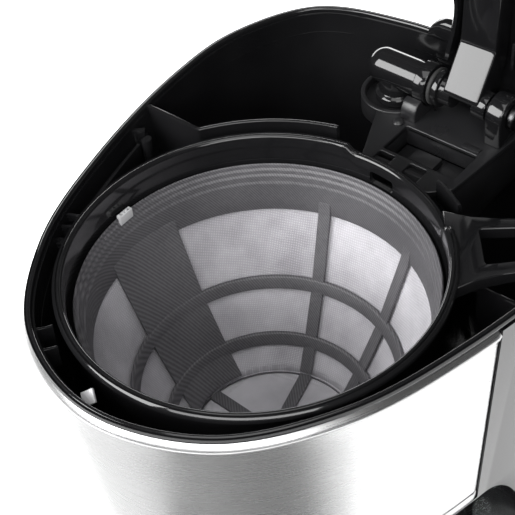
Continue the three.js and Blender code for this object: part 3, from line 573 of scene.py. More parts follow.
# Light grey plastic of the filter's clips. On the tub's lug it is a painted highlight.
CLIP_PLASTIC_AND_PAINTED_HIGHLIGHT = plastic("clip_plastic_and_painted_highlight", (0.42, 0.42, 0.43), (0.62, 0.62, 0.63), 0.12, 0.3, 700, 0.00003)
DARK_STEEL = metal("dark_steel", (0.04, 0.04, 0.042), (0.09, 0.09, 0.092), 0.2, 0.4, (500, 90, 500))
NODE_SLOTS = {part["node"]: part["material_slot"] for part in frame["record"]["subparts"]}
REPLACED = set()


def piece(obj, body, *nodes, look=None, smooth=38):
    """Moves a finished shape into the row frame and makes it stand for its CAD nodes."""
    slot = NODE_SLOTS[nodes[0]]
    obj.data.transform(Matrix.Translation((AXIS_X / 1000, AXIS_Y / 1000, 0)) @ Matrix.Scale(0.001, 4))
    obj.data.materials.clear()
    obj.data.materials.append(look or LOOKS[slot])
    obj.data.shade_smooth()
    obj.data.set_sharp_from_angle(angle=radians(smooth))
    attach(obj, body)
    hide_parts(*nodes)
    REPLACED.update(nodes)
    return obj


# ---------------------------------------------------------------- body


def housing():
    """Outer black shell of the head and the column, with the recess for the steel panel."""
    top = RIM - 3.3
    outside = body_space(BASE_TOP + 0.3, top, 0)
    outside = cut(outside, *bay_tools(0))
    inside = cut(body_space(BASE_TOP - 1, RIM + 1, 2), *bay_tools(2))
    heights = (HEAD_BOTTOM + 0.8, top + 1)
    ring = [level(BODY, wall_inset(z) + offset, z) for offset, z in (
        (-1, heights[0]), (-1, heights[1]), (1.2, heights[1]), (1.2, heights[0]))]
    recess = common(loft("recess", ring, closed=True), panel_tool(0.3, HEAD_BOTTOM - 5))
    shell = cut(outside, inside, rod("drip", 26, HEAD_BOTTOM - 5, HEAD_BOTTOM + 10), recess)
    shell.name = "outer_shell"
    return piece(shell, "machine", "main_housing")


def panel_reach(z, inset):
    """How far round the outline, from the middle of the front, the panel reaches at a height."""
    lean = (PANEL_EDGE[1] - PANEL_EDGE[0]) / (RIM - HEAD_BOTTOM)
    edge = PANEL_EDGE[0] + (RIM - z) * lean - 0.3
    loop = drawn_in(BODY, inset)
    for i in range(len(loop) // 2):
        if loop[i + 1].y > edge:
            return i + (edge - loop[i].y) / (loop[i + 1].y - loop[i].y)
    return len(loop) / 2


def on_loop(loop, place):
    i = int(place // 1)
    f = place - i
    return loop[i % len(loop)] * (1 - f) + loop[(i + 1) % len(loop)] * f


def wrap(name, rows, steps, thickness):
    """A sheet around the front. Each row is (height, inset) from its foot to its top."""
    points = []
    for z, inset in rows:
        reach = panel_reach(z, wall_inset(z) + inset)
        loop = drawn_in(BODY, wall_inset(z) + inset)
        tucked = drawn_in(BODY, wall_inset(z) + inset + 0.7)
        for k in range(-steps, steps + 1):
            place = on_loop(tucked if abs(k) == steps else loop, reach * k / steps)
            points.append(Vector((place.x, place.y, z)))
    width = 2 * steps + 1
    faces = []
    for i in range(len(rows) - 1):
        for k in range(width - 1):
            a = i * width + k
            faces.append((a, a + 1, a + width + 1, a + width))
    obj = build(name, points, faces)
    sheet = obj.modifiers.new("sheet", "SOLIDIFY")
    sheet.thickness = thickness
    sheet.offset = -1
    return baked(obj)


def steel_panel():
    """Brushed sheet around the front, with a rolled top edge and a hemmed foot."""
    low = HEAD_BOTTOM + 6.4
    top = RIM - 2.6
    rows = [(low, 0.75), (low + 0.2, 0.25), (low + 0.8, 0.05)]
    rows += [(low + 1 + (top - low - 6) * k / 8, 0.05) for k in range(9)]
    rows += [(top - 4.6, -0.02), (top - 4.3, -0.35), (top - 3.9, -0.7), (top - 3.4, -0.95), (top - 2.9, -0.9),
             (top - 2.3, -0.55), (top - 1.6, 0.1), (top - 0.9, 0.75), (top - 0.3, 1.35), (top - 0.05, 1.7)]
    skin = wrap("steel_panel", rows, 110, 0.5)
    hem = [(HEAD_BOTTOM + 0.9, 0.7), (HEAD_BOTTOM + 1.1, 0.1), (HEAD_BOTTOM + 1.8, -0.15),
           (HEAD_BOTTOM + 5, -0.15), (HEAD_BOTTOM + 5.8, 0.1), (HEAD_BOTTOM + 6.0, 0.7)]
    return piece(merged(skin, wrap("hem", hem, 90, 0.5)), "machine", "front_panel", smooth=60)


def fin(near, reach, top, width=1.1, turn=0, deep=9):
    """A small upright rib on the tub's inner wall, at the place on the outline nearest a point."""
    loop = drawn_in(BODY, 3.5)
    i = min(range(len(loop)), key=lambda k: (loop[k] - Vector(near)).length)
    ahead = (loop[(i + 1) % len(loop)] - loop[i - 1]).normalized()
    rib = chip("rib", 0, reach, -width / 2, width / 2, top - deep, top, 0.3)
    angle = atan2(ahead.x, -ahead.y) + radians(turn)
    return moved(rib, Matrix.Translation((loop[i].x, loop[i].y, 0)) @ Matrix.Rotation(angle, 4, "Z"))


def tank():
    """Glossy tub: water tank behind, well for the filter holder in front, and the beaded rim."""
    shell = cut(body_space(62, RIM - 2.4, 2.4), *bay_tools(2.4))
    hollow = cut(body_space(63.6, RIM + 5, 4), *bay_tools(4))
    shell = cut(shell, hollow)
    rim = [
        (5.3, RIM - 11), (2.6, RIM - 11), (2.6, RIM - 4), (2.0, RIM - 2.6), (1.3, RIM - 2.3),
           (0.9, RIM - 2.0),
        (0.8, RIM - 1.6), (0.85, RIM - 1.2), (1.1, RIM - 0.5), (1.35, RIM - 0.45), (1.5, RIM - 0.85),
           (1.7, RIM - 0.85),
        (1.9, RIM - 0.3), (2.3, RIM - 0.05), (2.75, RIM - 0.02), (3.2, RIM - 0.25), (3.55, RIM - 0.9),
        (3.7, RIM - 2.5), (3.85, RIM - 9.2), (4.1, RIM - 9.9), (4.7, RIM - 10.2), (5.4, RIM - 10.4),
    ]
    bead = loft("bead", [level(BODY, inset, z) for inset, z in rim], closed=True)
    floor = HEAD_BOTTOM + 2.4
    wall = turned("wall", soft([(75.6, floor), (77.2, floor), (77.2, RIM - 0.3), (75.6, RIM - 0.3)], 0.7))
    wall = common(wall, block("behind", -120, 120, 42.8, 120, floor, RIM + 5))
    wall = cut(wall, block("low", -20, 78, 30, 90, BRIDGE - 8, RIM + 1))
    reach = sqrt(77 ** 2 - 42.5 ** 2) - 1.5
    left = block("left", -100, -reach, 42.6, 44.4, floor, RIM - 0.6)
    right = block("right", reach, 100, 42.6, 44.4, floor, RIM - 12)
    links = [common(link_, body_space(floor - 1, RIM, 2.6)) for link_ in (left, right)]
    collar = turned("collar", soft([(22.6, floor), (25, floor), (25, floor + 3.9), (22.6, floor + 3.9)],
                                   0.6), 96)
    shell = cut(shell, rod("drip", 22.5, floor - 5, floor + 20),
                rod("riser", 6.1, 57, 72, RISER_X, HINGE_Y, 32),
                rod("drain", 4.4, 57, 72, -RISER_X, 104, 32))
    extras = [bead, bevelled(wall, 0.4), *(bevelled(one, 0.4) for one in links), collar]
    tab = turned("tab", soft([(76, RIM - 13), (77.5, RIM - 13), (77.5, RIM - 3), (76, RIM - 3)], 0.5))
    extras.append(bevelled(common(tab, sector(58.5, 70, RIM - 14, RIM)), 0.3))
    extras += [
        fin((-80, -19), 6.4, RIM - 3), fin((-79, -26), 9.5, RIM - 4, turn=10),
               fin((-76, -30), 5, RIM - 6, 3.4),
        fin((-47, -68), 6.5, RIM - 4), fin((-36, -76), 6, RIM - 4, turn=-8), fin((68, -26), 2.6, RIM - 3),
        fin((57, -50), 2.6, RIM - 3), fin((20, -80), 2.2, RIM - 3.4), fin((30, -76), 2.2, RIM - 3.4),
        fin((-88, 31), 5.6, RIM - 3.4, 2.2, 24), fin((-90, 117), 0.9, RIM - 12, 1.2, deep=90),
        fin((-84, 121), 0.9, RIM - 12, 1.2, deep=90),
    ]
    ledge = [point for point in drawn_in(BODY, 8.4) if point.x < -60 and -16 < point.y < 30]
    ledge += [point for point in reversed(drawn_in(BODY, 9.8)) if point.x < -60 and -16 < point.y < 30]
    extras.append(bevelled(loft("ledge", [[Vector((*p, z)) for p in ledge] for z in (RIM - 16, RIM - 6)]),
                           0.3))
    boss = rod("boss", 2.1, RIM - 16, RIM - 4.5, -79.6, 31, 32)
    extras.append(bevelled(cut(boss, block("side", -84, -80.8, 25, 37, RIM - 20, RIM)), 0.4))
    # Painted highlight: this lug of the gloss black tub is drawn in the light grey clip plastic, so it shows
    # as a bright patch.
    face = Matrix.Translation((-8.7, -74.4, RIM - 6.6)) @ Matrix.Rotation(radians(45), 4, "X")
    lug = moved(chip("lug", -2.5, 2.5, -2.5, 2.5, -0.6, 0.6, 0.3, 3), face @ about_z(45))
    stalk = chip("stalk", -10, -7.4, -79.6, -74.2, RIM - 13, RIM - 7.6, 0.4)
    extras.append(stalk)
    piece(lug, "machine", "water_tank", look=CLIP_PLASTIC_AND_PAINTED_HIGHLIGHT)
    shell.name = "tank_tub"
    return piece(merged(shell, *extras), "machine", "water_tank")


def sector(start, end, z0, z1, radius=110):
    """A pie slice about the holder's axis, between two angles in degrees."""
    steps = max(2, int((end - start) / 4))
    rim = [(radius * cos(a), radius * sin(a)) for a in
           (radians(start + (end - start) * k / steps) for k in range(steps + 1))]
    return loft("sector", [[Vector((x, y, z)) for x, y in [(0, 0), *rim]] for z in (z0, z1)])


def fairing():
    """Rounded glossy hump on the middle of the back rim."""
    rings = []
    for k in range(61):
        x = -24 + 0.8 * k
        fall = min(1.0, (24 - abs(x)) / 9)
        tall = 1.2 + 8.4 * sqrt(max(0.0, 1 - (1 - fall) ** 2))
        profile = soft([(137.2, RIM + 0.3), (144.3, RIM + 0.3), (144.3, RIM + tall * 0.5),
                        (142.4, RIM + tall),
                        (138.4, RIM + tall), (137.2, RIM + tall * 0.7)], 2.4, steps=6)
        rings.append([Vector((x, y, z)) for y, z in profile])
    return piece(loft("rear_hump", rings), "machine", "rear_fairing")


# ---------------------------------------------------------------- hinge


def bridge():
    """Bracket under the hinge: deck with a well and two notches, skirts, riser boss and saddle."""
    outline = soft([(-11, 74), (-8.6, 74), (-8.5, 84.2), (-1.3, 84.2), (-1.2, 74), (5.4, 74), (5.5, 84.2),
                    (13.3, 84.2),
                    (13.4, 74), (20, 74), (27, 80.5), (30.3, 120), (30.3, 137.2), (-22, 137.2), (-30, 128),
                    (-24, 103.5)], 0.9, steps=3)
    well = soft([(-8.5, 86), (24, 86), (24, 101.5), (-8.5, 101.5)], 1.0, steps=3)
    deck = plate("bridge_deck", [outline, well], BRIDGE - 2.4, BRIDGE, 0.45)
    boss_room = rod("boss_room", 12.2, BRIDGE - 3, BRIDGE + 3, RISER_X, HINGE_Y)
    deck = cut(deck, boss_room)
    boss = turned("boss", soft([(12.6, BRIDGE - 8), (14.5, BRIDGE - 8), (14.5, BRIDGE + 0.6),
                                (12.6, BRIDGE + 0.6)], 0.6), 96,
                  x=RISER_X, y=HINGE_Y)
    cup = turned("cup", soft([(6.2, BRIDGE - 8), (12.8, BRIDGE - 8), (12.8, BRIDGE - 2.6),
                              (6.2, BRIDGE - 2.6)], 0.5), 96,
                 x=RISER_X, y=HINGE_Y)
    low, high = BRIDGE - 26, BRIDGE - 1
    walls = [
        block("w", -14, -12, 80, 131, low, high), block("w", 25, 27, 82, 131, low, high),
        block("w", -14, 27, 80, 82, low, high), block("w", -14, 27, 129, 131, low, high),
        block("w", -10, -8.5, 85.8, 103, BRIDGE - 9, high), block("w", 24, 25.4, 85.8, 103, BRIDGE - 9, high),
        block("w", -10, 25, 101.5, 103, BRIDGE - 9, high),
    ]
    top = HINGE_Z - 2
    side = soft([(HINGE_Y - 13, high), (HINGE_Y + 3, high), (HINGE_Y + 3, top - 5), (HINGE_Y - 4, top),
                 (HINGE_Y - 11, top - 1.5), (HINGE_Y - 13, top - 5)], 1.6)
    saddle = slice_x("saddle", side, -13.5, -6.5, 0.6)
    saddle = cut(saddle, rod_x(ELBOW_RADIUS + 1.6, -16, 0, HINGE_Y, HINGE_Z))
    knob = turned("knob", [(CORE, BRIDGE - 0.4), (2.4, BRIDGE - 0.4), (2.3, BRIDGE + 0.5),
                           (1.6, BRIDGE + 1.2),
                           (0.7, BRIDGE + 1.5), (CORE, BRIDGE + 1.55)], 40, x=-12.2, y=101.2)
    pad = chip("pad", 16, 23.6, 102.6, 105.2, BRIDGE - 0.5, BRIDGE + 0.5, 0.3)
    tray = chip("tray", -8.4, 23.9, 85.9, 101.6, BRIDGE - 11, BRIDGE - 9.4, 0.3)
    step = chip("step", -1.5, 10, 92, 99, BRIDGE - 9.6, BRIDGE - 6.4, 0.5)
    body = merged(deck, boss, cup, *(bevelled(wall, 0.35) for wall in walls), saddle, knob, pad, tray, step)
    return piece(body, "machine", "hinge_bridge")


def post():
    """Round-topped post at the right end of the hinge."""
    side = [(HINGE_Y - 8, BRIDGE + 0.3)]
    side += [(HINGE_Y - 8 * cos(a), HINGE_Z + 8 * sin(a)) for a in (pi * k / 24 for k in range(25))]
    side.append((HINGE_Y + 8, BRIDGE + 0.3))
    body = slice_x("hinge_tower", side, *POST_X, 0.8)
    hole = rod_x(3.3, POST_X[0] - 2, POST_X[1] + 2, HINGE_Y, HINGE_Z)
    piece(cut(body, hole), "machine", "hinge_post")
    end = POST_X[1] + 3.4
    pin = soft([(CORE, 14.5), (2.7, 14.5), (3, 15.1), (3, POST_X[1] + 0.4), (5, POST_X[1] + 0.4),
                (5, end - 0.8),
                (4.2, end), (CORE, end)], 0.4)
    piece(along_x("hinge_axle", pin, HINGE_Y, HINGE_Z), "machine", "hinge_pin", look=DARK_STEEL)


def elbow():
    """Fixed glossy elbow: water rises in its socket and leaves along the hinge line."""
    r = ELBOW_RADIUS
    dome = [(r * sin(a) + 0.01, -29.2 - r * cos(a)) for a in (pi / 2 * k / 10 for k in range(11))]
    barrel = [*dome, (r, -11.8), (7.9, -11.4), (8.5, -10.9), (8.5, -6.9), (8.1, -6.2), (7.3, -6.0),
              (6.3, -6.1),
              (6.2, -7), (6.2, -16), (4.4, -16.2), (4.4, -28), (CORE, -28)]
    across = along_x("water_elbow", barrel, HINGE_Y, HINGE_Z, 96)
    socket = [(6.1, BRIDGE - 2), (8.2, BRIDGE - 2), (8.6, BRIDGE - 1.6), (8.6, BRIDGE + 1),
              (8.2, BRIDGE + 1.5),
              (r + 0.4, BRIDGE + 1.8), (r, BRIDGE + 2.2), (r, HINGE_Z - 2), (5, HINGE_Z - 0.5),
              (4.4, HINGE_Z - 1),
              (4.4, BRIDGE + 6), (6.0, BRIDGE + 5.8)]
    down = turned("socket", socket, 96, x=RISER_X, y=HINGE_Y)
    piece(merged(across, down), "machine", "outlet_elbow")
    ring = [(6.15 + 0.75 + 0.75 * cos(a), -4.7 + 0.85 * sin(a)) for a in (2 * pi * k / 16 for k in range(16))]
    piece(along_x("seal_ring", ring, HINGE_Y, HINGE_Z), "machine", "elbow_seal")
    tube = soft([(4.2, 46), (5.7, 46), (5.7, BRIDGE + 5.5), (4.2, BRIDGE + 5.5)], 0.4)
    piece(turned("riser_pipe", tube, 64, x=RISER_X, y=HINGE_Y), "machine", "riser_tube")


# ---------------------------------------------------------------- lid, laid out closed about its hinge


def opened(obj):
    turn = Matrix.Translation((0, HINGE_Y, HINGE_Z)) @ Matrix.Rotation(-LID_OPEN, 4, "X")
    return moved(obj, turn)


def lid():
    rows = [(0.5, 4.6), (0.25, 5.0), (0.2, 5.8), (0.2, 13), (0.5, 14.4), (1.3, 15.8), (2.6, 16.7),
            (4.2, 17), (40, 17)]
    body = loft("lid_shell", [level(LID, inset, z) for inset, z in [(2.8, 3.6), (1.2, 3.7), *rows[:-1]]])
    hollow = loft("hollow", [level(LID, inset, z) for inset,
                             z in ((2.8, -2), (2.8, 12), (3.6, 14), (5.2, 14.8))])
    room = rod_x(11, -50, 60, 0, 0)
    body = cut(body, hollow, room, block("rear", -60, 60, 3, 20, -20, 10))
    ribs = []
    for x in (-2.6, 20.4, 24.2, 28.0):
        ribs.append(chip("rib", x, x + 1.4, -24, -12.5, 9.4, 15.2, 0.3))
    piece(opened(merged(body, *ribs)), "lid", "lid_cover")

    sheet = [(x.x, x.y) for x in drawn_in(LID, 3.4)]
    under = plate("lid_lining", [sheet], 6.8, 8.6, 0.4)
    tools = [block("h", -60, 60, -46, 40, -20, 30),
             block("d", DUCT_X[0] - 2, DUCT_X[1] + 2, -130, 40, -20, 30),
             rod("s", 17, -20, 30, sum(DUCT_X) / 2, -HINGE_Y)]
    under = cut(under, *tools)
    piece(opened(under), "lid", "lid_liner")

    x0, x1 = DUCT_X
    tube = soft([(4.3, -15), (5.75, -15), (5.75, -3.6), (7.4, -3.5), (7.4, -1.2), (5.75, -1.1),
                 (5.75, x0 + 3),
                 (CORE, x0 + 3), (CORE, x0), (4.3, x0)], 0.3, steps=2)
    pivot = along_x("water_arm", tube, 0, 0)
    stub = soft([(3.3, x1 - 3), (5.75, x1 - 3), (5.75, 19.8), (3.3, 19.8)], 0.4, steps=2)
    stub = along_x("stub", stub, 0, 0)
    y_end = -HINGE_Y - 8
    profile = soft([(-1, -5), (-3, -5.6), (-21, 4.3), (y_end, 4.4), (y_end, 13.8), (-16, 13.8), (-4, 9.5),
                    (3, 4)], 1.2, steps=4)
    arm = slice_x("arm", profile, x0, x1, 0.7)
    outlet = rod("outlet", 5.5, 0, 9, (x0 + x1) / 2, -HINGE_Y, 32)
    piece(opened(merged(pivot, stub, cut(arm, outlet))), "lid", "water_duct")

    dish = soft([(CORE, -4.5), (22, -4.5), (27, -1.5), (28, 3.1), (28, 4.1), (25.6, 4.1), (24, -0.8),
                 (20.5, -2.6),
                 (CORE, -2.6)], 0.6)
    head = turned("spray_head", dish, 120, y=-HINGE_Y)
    holes = [rod("hole", 1.5, -8, 2, r * cos(a), r * sin(a) - HINGE_Y, 16)
             for r, count in ((14, 6), (7, 3)) for a in (2 * pi * k / count for k in range(count))]
    piece(opened(cut(head, *holes)), "lid", "shower_head")


# ---------------------------------------------------------------- filter holder


def holder():
    """Round holder with a double lip that steps down at the back right, a slot and a loop handle."""
    top = RIM
    profile = [
        (6.2, 186), (11.4, 186), (12, 186.6), (12, 197.2), (36.6, 202.4), (37.4, 203), (43.5, 216.6),
               (54.2, 237.6),
        (65.1, 266.3), (66.1, 273.5), (66.4, 282.5), (67.4, 286), (67.8, 295.8), (68.2, 296.6), (69.4, 296.9),
        (69.9, 297.4), (70, 298.5), (69.8, 299), (69.0, 299.75), (68.75, 299.7), (68.55, 299.25),
               (68.35, 299.25),
        (68.1, 299.8), (67.7, 300), (67.2, 299.9), (66.6, 299.4), (66.25, 298.4), (65.9, 292), (65.45, 285),
        (65.1, 284.4), (64.3, 284.1), (64, 283.6), (63.9, 274), (62.8, 267), (51.9, 238.5), (41.2, 217.5),
        (35.8, 205), (34.8, 204.1), (9.6, 199.2), (9, 198.6), (9, 196), (8.4, 195.5), (6.2, 195.5),
    ]

    def lower(angle, r, z):
        turn = degrees(angle)
        low = min(1, max(0, (turn - 49) / 2)) * min(1, max(0, (99 - turn) / 2))
        return r, z - 2.5 * low * min(1, max(0, (z - 290) / 6))

    cup = turned("brew_basket", profile, 240, lower)
    slot = chip("slot", 60, 80, -5.5, 5.5, top - 12, top - 7, 1.2, 3)
    cup = cut(cup, moved(slot, about_z(85)))
    loop = [(66.5, -19), (74, -15.6), (84, -13.4), (96, -12.4)]
    loop += [(96 + 10 * cos(a), -2.4 + 10 * sin(a)) for a in (radians(-90 + 10 * k) for k in range(1, 10))]
    loop += [(96 + 10 * cos(a), 3.4 + 10 * sin(a)) for a in (radians(10 * k) for k in range(10))]
    loop += [(86, 14), (76, 16), (66.5, 20)]
    hole = [(78, -8), (96, -7)]
    hole += [(96 + 4.6 * cos(a), -2.4 + 4.6 * sin(a)) for a in (radians(-90 + 15 * k) for k in range(1, 7))]
    hole += [(96 + 4.6 * cos(a), 3.4 + 4.6 * sin(a)) for a in (radians(15 * k) for k in range(6))]
    hole += [(96, 8), (78, 9.2)]
    grip = plate("grip", [loop, soft(hole, 1.0, steps=2)], top - 6.5, top - 1.5, 0.6)
    grip = cut(grip, rod("room", 67.9, 280, 320, steps=160))
    grip = moved(grip, about_z(HANDLE_ANGLE))
    return piece(merged(cup, grip), "holder", "filter_holder")


# ---------------------------------------------------------------- permanent filter


def cone_at(f):
    """[radius, height] at a share of the way down the inside of the cone."""
    spans = [hypot(b[0] - a[0], b[1] - a[1]) for a, b in zip(CONE, CONE[1:])]
    reach = f * sum(spans)
    for (a, b), span in zip(zip(CONE, CONE[1:]), spans):
        if reach <= span:
            share = reach / span
            return a[0] + (b[0] - a[0]) * share, a[1] + (b[1] - a[1]) * share
        reach -= span
    return CONE[-1]


def bar(angle, width):
    """A rib down the inside of the cone."""
    section = soft([(-width / 2, 0.6), (width / 2, 0.6), (width / 2, 2.0), (-width / 2, 2.0)], 0.5, steps=3)
    rings = []
    for k in range(33):
        r, z = cone_at(k / 32)
        rings.append([Vector((r - b, a, z)) for a, b in section])
    return moved(loft("bar", rings), about_z(angle))


def band():
    """The one wide rib, which follows the cone and gets a little narrower downward."""
    rings = []
    for k in range(33):
        r, z = cone_at(k / 32)
        half = 16.2 - 3 * k / 32
        across = [half * (j / 12 - 1) for j in range(25)]
        inner = [(sqrt((r - 2.0) ** 2 - b * b), b) for b in across]
        outer = [(sqrt((r - 0.6) ** 2 - b * b), b) for b in reversed(across)]
        rings.append([Vector((a, b, z)) for a, b in inner + outer])
    return moved(bevelled(loft("band", rings), 0.3), about_z(BAND_ANGLE))


def filter_basket():
    collar = soft([
        (64.5, 284.6), (64.5, 287.9), (64.1, 288.6), (63.7, 288.6), (63.4, 288.1), (63.35, 286.9),
                   (62.9, 286.5),
        (62.6, 286.1), (62.45, 284.8), (62.0, 284.3), (61.75, 283.9), (61.6, 281.8), (61.2, 281.1),
                   (61.05, 280.6),
        (60.9, 276.6), (60.3, 268.5), (61, 268.5), (62.2, 274.6), (63, 274.6), (63.3, 284.6),
    ], 0.22, steps=2)
    body = turned("filter_cage", collar, 240)
    hoops = []
    for r, z in CONE[2:4]:
        hoop = soft([(r - 1.6, z - 2.5), (r + 0.3, z + 2.5), (r - 1.3, z + 2.6), (r - 3.2, z - 2.4)], 0.6,
                    steps=3)
        hoops.append(turned("hoop", hoop, 200))
    foot = turned("foot", soft([(31.9, 205.2), (32.4, 205.2), (32.4, 205.9), (31.9, 205.9)], 0.15), 120)
    hub = turned("hub", soft([(CORE, 205.2), (8, 205.2), (8, 206.8), (CORE, 206.8)], 0.3), 64)
    spokes = [moved(chip("spoke", 7, 32, -2.5, 2.5, 205.2, 206.7, 0.4), about_z(angle))
              for angle in (BAND_ANGLE, *RIBS)]
    body = merged(body, band(), *(bar(angle, 5) for angle in RIBS), *hoops, foot, hub, *spokes)
    piece(body, "filter", "filter_frame", look=FRAME_PLASTIC)
    clips = []
    for angle in CLIPS:
        clip = chip("clip", 62.2, 64.3, -3.4, 3.4, 285.5, 289.8, 0.5, 3)
        clip = cut(clip, *(block("gap", 62.7, 63.8, y - 0.45, y + 0.45, 288.6, 294) for y in (-1.8, 0, 1.8)))
        clips.append(moved(clip, about_z(angle)))
    piece(merged(*clips), "filter", "filter_frame", look=CLIP_PLASTIC_AND_PAINTED_HIGHLIGHT)

    tall, wide = 64, 360
    rows = []
    for k in range(tall + 1):
        r, z = cone_at(k / tall)
        line = []
        for j in range(wide + 1):
            a = 2 * pi * (j % wide) / wide
            free = min(1.0, min(abs((degrees(a) - rib + 180) % 360 - 180) for rib in RIBS) / 8)
            free *= max(0.0, sin(pi * min(1, k / tall * 1.02))) ** 0.5
            fold = noise.noise(Vector((cos(a) * 3.1, sin(a) * 3.1, z / 16))) + 0.6 * noise.noise(
                Vector((cos(a) * 9, sin(a) * 9, z / 9 + 7)))
            q = r + 0.05 + free * (0.3 + 0.45 * fold)
            line.append(Vector((q * cos(a), q * sin(a), z)))
        rows.append(line)
    rows.append([Vector((p.x, p.y, 204.9)) for p in rows[-1]])
    points = [point for line in rows for point in line[:-1]]
    faces = [(i * wide + j, i * wide + (j + 1) % wide, (i + 1) * wide + (j + 1) % wide, (i + 1) * wide + j)
             for i in range(len(rows) - 1) for j in range(wide)]
    faces.append(tuple(range(len(points) - wide, len(points))))
    cloth = build("filter_weave", points, faces)
    sheet = cloth.modifiers.new("sheet", "SOLIDIFY")
    sheet.thickness = 0.35
    sheet.offset = 1
    cloth = baked(cloth)
    unrolled(cloth)
    piece(cloth, "filter", "filter_mesh", smooth=60)


def unrolled(obj):
    """Gives a cone a flat pattern, as if its cloth were unrolled, with the seam under the wide rib."""
    share = 0.4
    flat = obj.data.uv_layers.new(name="cloth")
    for face in obj.data.polygons:
        side = face.center.y < 0
        for loop in face.loop_indices:
            point = obj.data.vertices[obj.data.loops[loop].vertex_index].co
            angle = atan2(point.y, point.x)
            if abs(angle) > 3:
                angle = -abs(angle) if side else abs(angle)
            reach = hypot(point.x, point.y) / share / 1000
            flat.data[loop].uv = (reach * cos(angle * share), reach * sin(angle * share))


# ---------------------------------------------------------------- base


def base():
    levels = [(7.6, 3.2), (5.4, 3.2), (4.7, 3.8), (3.6, 9), (3.8, 12), (6.2, 33), (7.2, 38.6), (8.2, 40.6),
              (9.4, 41.6),
              (11.2, 42), (20, 42)]
    shell = loft("base_shell", [level(BODY, inset, z) for inset, z in levels])
    hollow = loft("hollow", [level(BODY, inset, z) for inset, z in ((7.6, 0), (7.6, 9), (9, 34), (11, 40))])
    well = rod("well", 64.5, 32, 47, steps=160)
    column = common(loft("column", [level(BODY, 20, z) for z in (32, 47)]),
                    block("rear", -100, 100, 90, 160, 30, 50))
    window = block("window", -13.3, 20.3, -90, -70, 12.7, 31.3)
    cord = along_y("cord", [(CORE, 120), (8.3, 120), (8.3, 150), (CORE, 150)], -42, 20)
    shell = cut(shell, hollow, well, column, window, cord)
    lip = turned("lip", soft([(63.9, 40.6), (66.6, 40.6), (67.2, 42.2), (66.4, 43), (64.6, 43),
                              (63.9, 42.2)], 0.5), 160)
    posts = [rod("post", 4, 6, 34 if y < 0 else 40, x, y, 32) for x, y in BOSSES]
    holes = [rod("hole", 2.1, 5, 24, x, y, 24) for x, y in BOSSES]
    posts = [cut(one, hole) for one, hole in zip(posts, holes)]
    piece(merged(shell, lip, *posts), "machine", "base_housing")

    sheet = [(p.x, p.y) for p in drawn_in(BODY, 8.2)]
    bores = [[(p.x, p.y) for p in circle(2.3, 24, 0, x, y)] for x, y in BOSSES]
    piece(plate("under_plate", [sheet, *bores], 3.2, 5.4, 0.3), "machine", "base_plate")

    for name, x, y in (("front_left", -38, -42), ("front_right", 38, -42), ("rear_left", -60, 112),
                       ("rear_right", 60, 112)):
        pad = soft([(CORE, 0), (7.6, 0), (8.4, 0.5), (9, 1.6), (9, 2.9), (CORE, 2.9)], 0.3)
        grooves = [turned("groove", [(r, -1), (r + 0.7, -1), (r + 0.7, 0.4), (r, 0.4)], 48, x=x,
                          y=y) for r in (2.5, 5)]
        piece(cut(turned(f"pad_{name}", pad, 64, x=x, y=y), *grooves), "machine", f"foot_{name}")

    top = PLATE_TOP
    warm = soft([(CORE, top - 1.4), (35, top - 1.4), (35, 37), (49, 37), (49, top - 1.4), (57, top - 1.4),
                 (59, 37),
                 (63.8, 37), (63.8, 38.2), (61.6, 38.2), (61.2, top - 0.6), (60, top), (54, top),
                 (53.4, top - 0.35),
                 (52.6, top - 0.35), (52, top), (CORE, top)], 0.4, steps=3)
    piece(turned("warming_plate", warm, 200), "machine", "hot_plate")


def controls():
    """Rocker switch with its frame and lamp, and the grommet of the mains lead."""
    joint = JOINTS["power_switch"]["pos_m"]
    y = joint[1] * 1000 - AXIS_Y
    z = joint[2] * 1000
    front = y - 7
    turn = Matrix(((1, 0, 0, 0), (0, 0, 1, 0), (0, 1, 0, 0), (0, 0, 0, 1)))
    frame_loop = soft([(-13, z - 9), (20, z - 9), (20, z + 9), (-13, z + 9)], 3, steps=6)
    window = soft([(-10, z - 7), (10, z - 7), (10, z + 7), (-10, z + 7)], 1, steps=3)
    lamp = [(15.2 + p.x, z + p.y) for p in circle(2.9, 32)]
    bezel = moved(plate("switch_frame", [frame_loop, window, lamp], front, -72, 0.5), turn)
    piece(bezel, "machine", "switch_bezel")
    lens = soft([(CORE, front - 1.1), (1.5, front - 0.9), (2.4, front - 0.2), (2.6, front + 0.4),
                 (2.6, -72.5), (CORE, -72.5)], 0.3)
    piece(along_y("lamp_lens", lens, 15.2, z), "machine", "indicator_lens")
    side = soft([(3, -4.5), (-5.4, -5.9), (-4.8, -3), (-4.2, 0), (-4.8, 3), (-5.4, 5.9), (3, 4.5)], 0.9,
                steps=4)
    rocker = slice_x("rocker_key", side, -9.6, 9.6, 0.5)
    marks = [along_y("mark", soft([(1.1, -5.6), (1.5, -5.6), (1.5, -4.4), (1.1, -4.4)], 0.1), 0, -3.4, 32)]
    marks.append(chip("mark", -0.2, 0.2, -5.4, -4.4, 2.2, 4.6, 0.08))
    place = Matrix.Translation((0, y, z)) @ Matrix.Rotation(-radians(9), 4, "X")
    piece(moved(merged(rocker, *marks), place), "rocker", "switch_rocker")

    gland = soft([(4, 126), (7.9, 126), (7.9, 140.6), (10.5, 140.8), (10.5, 142.6), (9.6, 143.2),
                  (4, 143.2)], 0.5)
    piece(along_y("cord_grommet", gland, -42, 20), "machine", "cord_gland")


# ---------------------------------------------------------------- carafe


